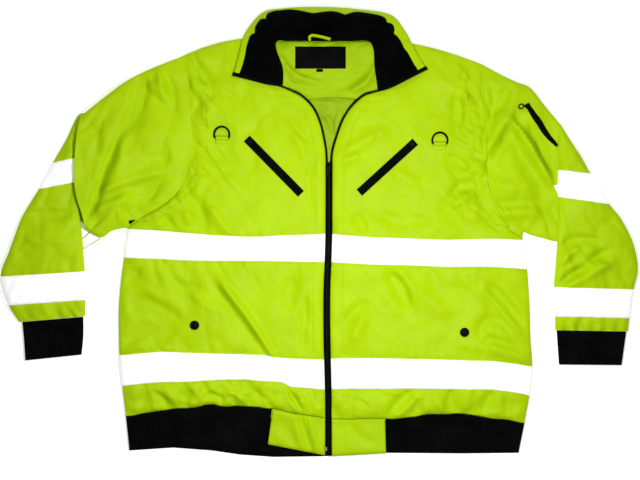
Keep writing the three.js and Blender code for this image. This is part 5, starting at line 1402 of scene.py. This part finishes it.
# The middle line of one zip half, from the hem to the collar's tip: x, y, height, width, and whether its
# teeth are on the side away from the front
def zip_path(side):
    sign = SIGN[side]
    inner = HEM_TABS[side]["inner"]
    half = ZIP["edge"] + ZIP["closed"] / 2
    path = [(inner[0] - sign * half, inner[1] + rise, 3.8, ZIP["closed"], 1) for rise in (0.5, 30)]
    for s in np.arange(LAST_ROW, 4.69, -0.25):
        px, py, low, _ = (float(v) for v in front_point(side, np.float64(s), np.float64(0)))
        above = row_at(FRONT[side], s - 0.3)
        below = row_at(FRONT[side], min(s + 0.3, LAST_ROW))
        dx, dy = float(above["ix"] - below["ix"]), float(above["iy"] - below["iy"])
        length = math.hypot(dx, dy)
        climb = 1 - float(ramp(s, 4.5, 6.5))
        wide = mix(ZIP["open"], ZIP["closed"], float(ramp(s, 9.3, 10.2)))
        out = (ZIP["edge"] + wide / 2) * sign / length
        path.append((px - out * dy, py + out * dx, mix(low + GAP, ZIP["climb"], climb), wide, 1))
    end = {name: column[0 if side == "right" else -1] for name, column in COLLAR.items()}
    dx, dy = end["ex"] - end["nx"], end["ey"] - end["ny"]
    length = math.hypot(dx, dy)
    for share_at in np.linspace(0.08, 1.02, 9):
        wide = mix(ZIP["open"], ZIP["collar"], float(ramp(share_at, 0.05, 0.3)))
        out = (wide / 2 - 0.4) * sign / length
        px, py = mix(end["nx"], end["ex"], share_at), mix(end["ny"], end["ey"], share_at)
        path.append((px + out * dy, py - out * dx, ZIP["climb"], wide, 0))
    path = along(path, 2.4)
    bend = int(np.argmax(path[:, 4] < 1)) - 10
    for _ in range(CORNER_SMOOTHING):
        path[bend:-1] = (path[bend - 1 : -2] + 2 * path[bend:-1] + path[bend + 1 :]) / 4
    return path


def zip_half(side):
    path = zip_path(side)
    way = np.gradient(path[:, :2], axis=0)
    way /= np.linalg.norm(way, axis=1, keepdims=True)
    out = SIGN[side] * np.stack([-way[:, 1], way[:, 0]], -1)
    reach = (ZIP_PROFILE["share"][None, :] - 0.5) * path[:, 3:4]
    x = path[:, :1] + out[:, :1] * reach
    y = path[:, 1:2] + out[:, 1:2] * reach
    base = np.maximum(path[:, 2][:, None], rest_grid(["front_" + side, "collar_shell"], x, y) + 0.25)
    base = np.maximum(base, base.max(axis=1, keepdims=True) - 1.5)
    top = xyz(x, y, base + ZIP["thickness"] * ZIP_PROFILE["high"][None, :])
    cover("zip_" + side, "tape", top, xyz(x, y, base), "zip")
    toothed = (path[:, 4:5] - 0.5) * path[:, 3:4] * mix(1.0, 0.9, path[:, 4:5])
    spots = path[:, :2] + out * toothed
    return np.column_stack([spots, top[:, 2, 2], out, path[:, 4]])


for side in SIDES:
    teeth_at = along(zip_half(side), TEETH["pitch"])
    spots = teeth_at[:, :3].copy()
    closed = spots[:, 1] < SLIDER_AT[1]
    spots[closed, 1] += 0 if side == "right" else TEETH["pitch"] / 2
    spots[:, 2] -= 0.3
    size = (TEETH["wide"], TEETH["long"], TEETH["high"])
    blocks(f"zip_teeth_{side}", spots, teeth_at[:, 3:5], size, "teeth", "zip_" + side)

# Stitching: short threads along lines laid on the cloth
STITCH = {"long": 2.3, "wide": 0.75, "high": 0.4, "pitch": 3.4}


def sew(name, lines, rests, finish="stitch"):
    middles, ways, slopes = [], [], []
    for line in lines:
        points = along(line, STITCH["pitch"])
        way = np.gradient(points, axis=0)
        way *= STITCH["long"] / 2 / np.linalg.norm(way, axis=1, keepdims=True)
        for (px, py), (wx, wy) in zip(points[:, :2], way[:, :2]):
            before, after = rest(rests, px - wx, py - wy), rest(rests, px + wx, py + wy)
            middles.append((px, py, rest(rests, px, py) - 0.08))
            ways.append((wx, wy))
            slopes.append((after - before) / STITCH["long"] if min(before, after) > 0 else 0.0)
    size = (STITCH["long"], STITCH["wide"], STITCH["high"])
    blocks(name, middles, ways, size, finish, slopes=np.clip(slopes, -1, 1))


# Lines along a front, at a distance from its zip or side, and across it at a row
def front_line(side, start, end, distance, from_side=False):
    rows = np.linspace(start, end, max(2, int(abs(end - start) * 8)))
    x, y, _, _ = front_span(side, rows, [distance], from_side)
    return np.column_stack([x, y])


def front_across(side, s, start=6.5, end=3.0):
    length = width_of(row_at(FRONT[side], s))
    shares = np.linspace(start / length, 1 - end / length, 120)
    x, y, _, _ = front_point(side, s, shares)
    return np.column_stack([x, y])


def box_line(corners):
    corners = [*corners, corners[0]]
    return [np.array([a, b], dtype=float) for a, b in zip(corners, corners[1:])]


# A box round a straight line, wider by half on each side and longer by ends at each end
def frame_round(line, half, ends):
    a, b = (np.array(point, dtype=float) for point in line)
    way = (b - a) / np.linalg.norm(b - a)
    out = np.array([-way[1], way[0]]) * half
    a, b = a - way * ends, b + way * ends
    return box_line([a + out, a - out, b - out, b + out])


TAPE_SEAM = 0.07
ARM_TAPE_SEAM = 0.06
WELT_SEAM = {"mouth": 14.5, "side": 14, "ends": (3, 7)}
for side, mouth in SIGN.items():
    on_front = ["front_" + side, "armhole_flap_" + side, "tape_chest_" + side, "tape_waist_" + side]
    lines = [front_line(side, 5.5, 21.9, 2.2), front_line(side, 5.5, 21.9, PLACKET_STITCH)]
    lines.append(front_line(side, 0.3, 12.4, 17.6, from_side=True))
    lines += [front_across(side, s) for s in (21.86, 21.66)]
    lines += frame_round(CHEST_ZIPS[side], 8.2, 2)
    lines += [front_across(side, s) for s in (13.93, 15.07, 18.93, 20.07)]
    (tx, ty), (bx, by) = WELTS[side]
    out, half = mouth * WELT_SEAM["mouth"], mouth * WELT_SEAM["side"]
    lines.append(np.array([(tx + out, ty - 2), (bx + out, by + 2)], dtype=float))
    for py in [ty - d for d in WELT_SEAM["ends"]] + [by + d for d in WELT_SEAM["ends"]]:
        lines.append(np.array([(tx - half, py), (tx + half, py)], dtype=float))
    sew(f"stitching_front_{side}", lines, on_front + ["pocket_welt_" + side])
    rows = [row for first in FIRST_ROW.values() for row in (first + TAPE_SEAM, first + 1 - TAPE_SEAM)]
    sew(f"stitching_tape_{side}", [front_across(side, row) for row in rows], on_front, "white_stitch")
    seams = []
    for label, (a, b) in ARM_TAPES[side].items():
        for step in (a + ARM_TAPE_SEAM, b - ARM_TAPE_SEAM):
            ring = row_at(LOWER_SLEEVE[side], step)
            t = np.linspace(0.05, 0.95, 50)
            line = np.column_stack([mix(ring["ox"], ring["ix"], t), mix(ring["oy"], ring["iy"], t)])
            if (side, label) == ("right", "upper"):
                line = line[line[:, 0] < FOLD_X]
            seams.append(line)
    arm = ["lower_sleeve_" + side, "tape_arm_lower_" + side, "tape_arm_upper_" + side]
    sew(f"stitching_arm_tape_{side}", seams, arm, "white_stitch")

lines = []
row = row_at(COLLAR, np.linspace(0.1, 9.9, 160))
for t in (0.96, 0.06):
    lines.append(np.column_stack([mix(row["nx"], row["ex"], t), mix(row["ny"], row["ey"], t)]))
sew("stitching_collar", lines[:1], ["collar_shell", "collar_fleece"])
sew("stitching_fleece", lines[1:], ["collar_fleece"], "label")
LABEL_BOX = [(-38.6, 318.5), (45.4, 318.5), (45.4, 283.5), (-38.6, 283.5)]
sew("stitching_label", box_line(LABEL_BOX), ["neck_label"], "label")
t = np.linspace(0, 1, 30)
facing_foot = np.column_stack([mix(-34, 80, t), 232 + FACING_ARCH["rise"] * np.sin(math.pi * t) ** 2])
sew("stitching_facing", [facing_foot], ["back_facing"])

# Metal fittings, each about its own point: the pins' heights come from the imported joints
JOINT_AT = {joint["child"]: joint["pos_m"] for joint in frame["record"]["behaviour"]["joints"]}
D_RING = {"half": 13, "side": 6, "corner": 3, "wire": 1.65}
D_RING_BARS = {"right": (-165.6, 163), "left": (208, 153)}
LOOP_STRAP = {"round": 2.6, "half": 10.4, "thick": 0.9, "ripple": 0.12}
SNAPS = {"right": (-212.4, -158.2), "left": (250.3, -170.3)}
SLEEVE_SLIDER = {"at": (358.6, 218), "turn": -82}
RETAINER_AT = (13, -371)
PIN = {"above": 2.4, "eye": 1.9, "wire": 0.75}
PULL_THICKNESS = 1.1


def pin_height(body):
    return JOINT_AT[body][2] / MM


def foot_of(node_name):
    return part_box(node_name)[0].z / MM


def turned(points, x, y, z, turn=0.0):
    c, s = math.cos(math.radians(turn)), math.sin(math.radians(turn))
    px, py, pz = np.asarray(points, dtype=float).T
    return np.stack([x + px * c - py * s, y + px * s + py * c, z + pz], -1)


# A round wire along a path, closed on itself or with flat ends
def wire(path, radius, closed, sides=14):
    path = np.asarray(path, dtype=float)
    if closed:
        way = np.roll(path, -1, axis=0) - np.roll(path, 1, axis=0)
    else:
        way = np.gradient(path, axis=0)
    way /= np.linalg.norm(way, axis=1, keepdims=True)
    up = np.where(np.abs(way[:, 2:3]) > 0.9, np.array([[1.0, 0, 0]]), np.array([[0, 0, 1.0]]))
    out = np.cross(way, up)
    out /= np.linalg.norm(out, axis=1, keepdims=True)
    over = np.cross(out, way)
    angle = np.linspace(0, 2 * math.pi, sides, endpoint=False)[None, :, None]
    rings = path[:, None] + radius * (np.cos(angle) * out[:, None] + np.sin(angle) * over[:, None])
    count = len(path)
    faces = []
    for r in range(count if closed else count - 1):
        n = (r + 1) % count
        for k in range(sides):
            after = (k + 1) % sides
            faces.append([r * sides + k, n * sides + k, n * sides + after, r * sides + after])
    if not closed:
        faces += [list(range(sides)), [(count - 1) * sides + k for k in range(sides)][::-1]]
    return rings.reshape(-1, 3), faces


# The faces of a stack of rings, closed at both ends; order is 1 for rings that run anticlockwise
def stack_faces(rings, count, order=1):
    faces = []
    for r in range(rings - 1):
        for k in range(count):
            n = (k + 1) % count
            faces.append([r * count + k, r * count + n, (r + 1) * count + n, (r + 1) * count + k][::order])
    faces.append(list(range(count))[::-order])
    faces.append([(rings - 1) * count + k for k in range(count)][::order])
    return faces


# A flat plate of any outline with rounded edges
def plate(outline, low, high, bevel):
    outline = np.asarray(outline, dtype=float)
    before, after = np.roll(outline, 1, axis=0), np.roll(outline, -1, axis=0)
    way = after - before
    way /= np.linalg.norm(way, axis=1, keepdims=True)
    area = np.sum(outline[:, 0] * after[:, 1] - after[:, 0] * outline[:, 1])
    order = 1 if area > 0 else -1
    inward = order * np.stack([-way[:, 1], way[:, 0]], -1)
    levels = [(bevel, low), (bevel * 0.3, low + bevel * 0.3), (0, low + bevel), (0, high - bevel)]
    levels += [(bevel * 0.3, high - bevel * 0.3), (bevel, high)]
    rings = [np.column_stack([outline + inward * inset, np.full(len(outline), z)]) for inset, z in levels]
    return np.concatenate(rings), stack_faces(len(levels), len(outline), order)


def rounded(outline, cuts=2):
    outline = np.asarray(outline, dtype=float)
    for _ in range(cuts):
        after = np.roll(outline, -1, axis=0)
        outline = np.stack([mix(outline, after, 0.25), mix(outline, after, 0.75)], 1).reshape(-1, 2)
    return outline


def assemble(name, shapes, at, finish, *nodes, body="root", turn=0.0):
    points, faces = [], []
    for shape_points, shape_faces in shapes:
        start = sum(len(done) for done in points)
        points.append(shape_points)
        faces += [[k + start for k in face] for face in shape_faces]
    made = add_mesh(name, turned(np.concatenate(points), *at, turn), faces)
    for face in made.data.polygons:
        face.use_smooth = len(face.vertices) == 4
    dress(made, finish, *nodes, body=body)


def arc(x, y, radius, start, end, count):
    angle = np.radians(np.linspace(start, end, count))
    return [(x + radius * math.cos(a), y + radius * math.sin(a)) for a in angle]


def on_plane(points, z=0.0):
    return [(px, py, z) for px, py in points]


# A plate with rounded corners about a point, twice half_x by half_y
def block_plate(half_x, half_y, low, high, bevel, cuts=2, x=0.0, y=0.0):
    corners = [(x + a * half_x, y + b * half_y) for a, b in ((-1, -1), (1, -1), (1, 1), (-1, 1))]
    return plate(rounded(corners, cuts), low, high, bevel)


def slider_shapes(width, length, thickness):
    foot = -PIN["above"] - thickness
    shoulder, tail = 3 - length * 0.55, 4 - length
    body = [(-0.36, 4), (0.36, 4), (0.5, 1.5), (0.44, shoulder), (0.3, tail)]
    body += [(-0.3, tail), (-0.44, shoulder), (-0.5, 1.5)]
    inner = [(a * width * 0.55, b * 0.62 - 0.6) for a, b in body]
    return [
        plate(rounded([(a * width, b) for a, b in body]), foot, foot + thickness, 0.5),
        plate(rounded(inner), foot + thickness - 0.3, foot + thickness + 0.45, 0.3),
        block_plate(0.6, 1.6, -PIN["above"] - 0.4, 0.9, 0.25, 1, x=-3.1),
        block_plate(0.6, 1.6, -PIN["above"] - 0.4, 0.9, 0.25, 1, x=3.1),
        wire([(-3.5, 0, 0), (-1, 0, 0), (1, 0, 0), (3.5, 0, 0)], PIN["wire"], False, 10),
    ]


def eye_shapes():
    ring = arc(0, 0, PIN["eye"] * 0.78, 0, 360, 15)[:-1]
    return [wire([(dx, b, c) for b, c in ring], 0.36, True, 8) for dx in (-1.5, -0.5, 0.5, 1.5)]


for side in SIDES:
    name = "d_ring_" + side
    at = (*D_RING_BARS[side], pin_height(name))
    path = arc(D_RING["half"] - D_RING["corner"], D_RING["corner"], D_RING["corner"], -90, 0, 6)
    path += arc(0, D_RING["side"], D_RING["half"], 0, 180, 32)
    path += arc(D_RING["corner"] - D_RING["half"], D_RING["corner"], D_RING["corner"], 180, 270, 6)
    assemble(name + "_wire", [wire(on_plane(path), D_RING["wire"], True)], at, "dark_metal", name, body=name)
    strap = [(-9.5, -2.5), (-8, -2.3), (-5.5, -2.1), (-3.6, -1.7)]
    strap = along(strap + arc(0, 0, LOOP_STRAP["round"], 205, -30, 14)[1:] + [(2.0, -2.1)], 0.8)
    way = np.gradient(strap, axis=0)
    way /= np.linalg.norm(way, axis=1, keepdims=True)
    out = np.stack([-way[:, 1], way[:, 0]], -1) * LOOP_STRAP["thick"] / 2
    width = np.linspace(-LOOP_STRAP["half"], LOOP_STRAP["half"], 17)[None, :]
    ripple = LOOP_STRAP["ripple"] * noise(width, strap[:, :1], 4, 431)
    lines = (strap + out, strap - out)
    sheets = [xyz(at[0] + width, at[1] + line[:, :1], at[2] + line[:, 1:2] + ripple) for line in lines]
    cover("d_ring_loop_" + side, "strap", *sheets, "cloth")

PULL = [
    (2.1, -1.2),
    (-2.1, -1.2),
    (-2.1, -3.7),
    (-3.8, -7),
    (-6.6, -17.5),
    (-5.6, -19.5),
    (-0.6, -20.6),
    (0.6, -19),
    (2.1, -3.7),
]
PULL_PANEL = [(-4.6, -9), (-1.4, -9), (-2.2, -17), (-5, -16.4)]
RING_NECK = [(1.9, -1.2), (-1.9, -1.2), (-1.5, -5), (-1.7, -8.6), (1.7, -8.6), (1.5, -5)]
at = (*SLIDER_AT, pin_height("zip_pull"))
pull_low = -PIN["eye"]
assemble("zip_slider_body", slider_shapes(9, 14, 2.2), at, "dark_metal", "zip_slider")
shapes = [plate(rounded(PULL, 1), pull_low, pull_low + PULL_THICKNESS, 0.3), *eye_shapes()]
shapes.append(plate(rounded(PULL_PANEL), pull_low + 0.9, pull_low + 1.45, 0.25))
assemble("zip_pull_tab", shapes, at, "dark_metal", "zip_pull", body="zip_pull")

at, turn = (*SLEEVE_SLIDER["at"], pin_height("sleeve_pull")), SLEEVE_SLIDER["turn"]
assemble("sleeve_slider_body", slider_shapes(8, 9, 1.6), at, "dark_metal", "sleeve_slider", turn=turn)
ring = on_plane(arc(0, -12, 4, 0, 360, 29)[:-1], pull_low + 0.8)
neck = plate(rounded(RING_NECK, 1), pull_low + 0.1, pull_low + 1.2, 0.25)
shapes = [wire(ring, 0.95, True), *eye_shapes(), neck]
assemble("sleeve_pull_ring", shapes, at, "dark_metal", "sleeve_pull", body="sleeve_pull", turn=turn)

# A snap's cap as a turned profile: radius and height
SNAP_PROFILE = [
    (7.9, 0),
    (8, 0.5),
    (7.8, 1.1),
    (7.1, 1.5),
    (6.3, 1.5),
    (5.8, 1.25),
    (5.3, 1.4),
    (4.2, 2.2),
    (2.4, 2.8),
    (0.8, 3),
]
SNAP_SIDES = 36
CHEST_SLIDER_AT = 7
for side in SIDES:
    (ax, ay), (bx, by) = CHEST_ZIPS[side]
    angle = math.atan2(by - ay, bx - ax)
    node_name = "chest_slider_" + side
    at = (ax + math.cos(angle) * CHEST_SLIDER_AT, ay + math.sin(angle) * CHEST_SLIDER_AT, foot_of(node_name))
    shapes = [block_plate(4.4, 3.9, 0, 1.7, 0.4), block_plate(3.2, 1.5, 1.5, 2.6, 0.35, x=0.6)]
    turn = math.degrees(angle)
    assemble("chest_slider_body_" + side, shapes, at, "dark_metal", node_name, turn=turn)
    points = [(*spot, z) for r, z in SNAP_PROFILE for spot in arc(0, 0, r, 0, 360, SNAP_SIDES + 1)[:-1]]
    cap = [(np.array(points), stack_faces(len(SNAP_PROFILE), SNAP_SIDES))]
    assemble("snap_cap_" + side, cap, (*SNAPS[side], foot_of("snap_" + side)), "dark_metal", "snap_" + side)
shapes = [block_plate(2.2, 3.9, 0, 3.2, 0.6), block_plate(1.4, 1.4, 3.0, 3.6, 0.3, 1, y=1)]
at = (*RETAINER_AT, foot_of("zip_retainer"))
assemble("zip_retainer_body", shapes, at, "bright_metal", "zip_retainer")

# Stage
FLOOR = {"half": 8.0, "z": -0.0005, "glow": 0.45}
WORLD_STRENGTH = 0.3
floor_mesh = bpy.data.meshes.new("floor")
signs = ((-1, -1), (1, -1), (1, 1), (-1, 1))
corners = [(a * FLOOR["half"], b * FLOOR["half"], FLOOR["z"]) for a, b in signs]
floor_mesh.from_pydata(corners, [], [(0, 1, 2, 3)])
floor = bpy.data.objects.new("floor", floor_mesh)
bpy.context.scene.collection.objects.link(floor)
floor_finish, tree, shader = material("floor_pale", (0.95, 0.95, 0.95), 0.9)
feed(tree, shader, Emission_Color=WHITE, Emission_Strength=FLOOR["glow"])
floor_mesh.materials.append(floor_finish)

world = bpy.data.worlds.new("studio")
bpy.context.scene.world = world
world.use_nodes = True
feed(world.node_tree, world.node_tree.nodes["Background"], Color=WHITE, Strength=WORLD_STRENGTH)
bpy.context.scene.view_settings.view_transform = "Standard"


def area_light(name, position, size, power):
    light = bpy.data.lights.new(name, "AREA")
    light.shape = "RECTANGLE"
    light.size, light.size_y = size
    light.energy = power
    made = bpy.data.objects.new(name, light)
    made.location = position
    made.rotation_euler = (-Vector(position)).to_track_quat("-Z", "Y").to_euler()
    bpy.context.scene.collection.objects.link(made)


area_light("key", (0.09, -0.06, 0.92), (0.18, 0.18), 8.0)
area_light("side", (0.1, 2.0, 1.6), (0.9, 0.6), 12)

camera_data = bpy.data.cameras.new("camera")
camera = bpy.data.objects.new("camera", camera_data)
view_x = (VIEW_CENTRE_PX[0] - ORIGIN_PX[0]) * MM_PER_PIXEL - MIDDLE[0]
view_y = (ORIGIN_PX[1] - VIEW_CENTRE_PX[1]) * MM_PER_PIXEL - MIDDLE[1]
camera.location = (view_x * MM, view_y * MM, CAMERA_HEIGHT)
camera_data.sensor_width = SENSOR
camera_data.lens = SENSOR * CAMERA_HEIGHT / (FRAME_WIDTH_PX * MM_PER_PIXEL * MM)
camera_data.clip_end = 20
bpy.context.scene.collection.objects.link(camera)
bpy.context.scene.camera = camera
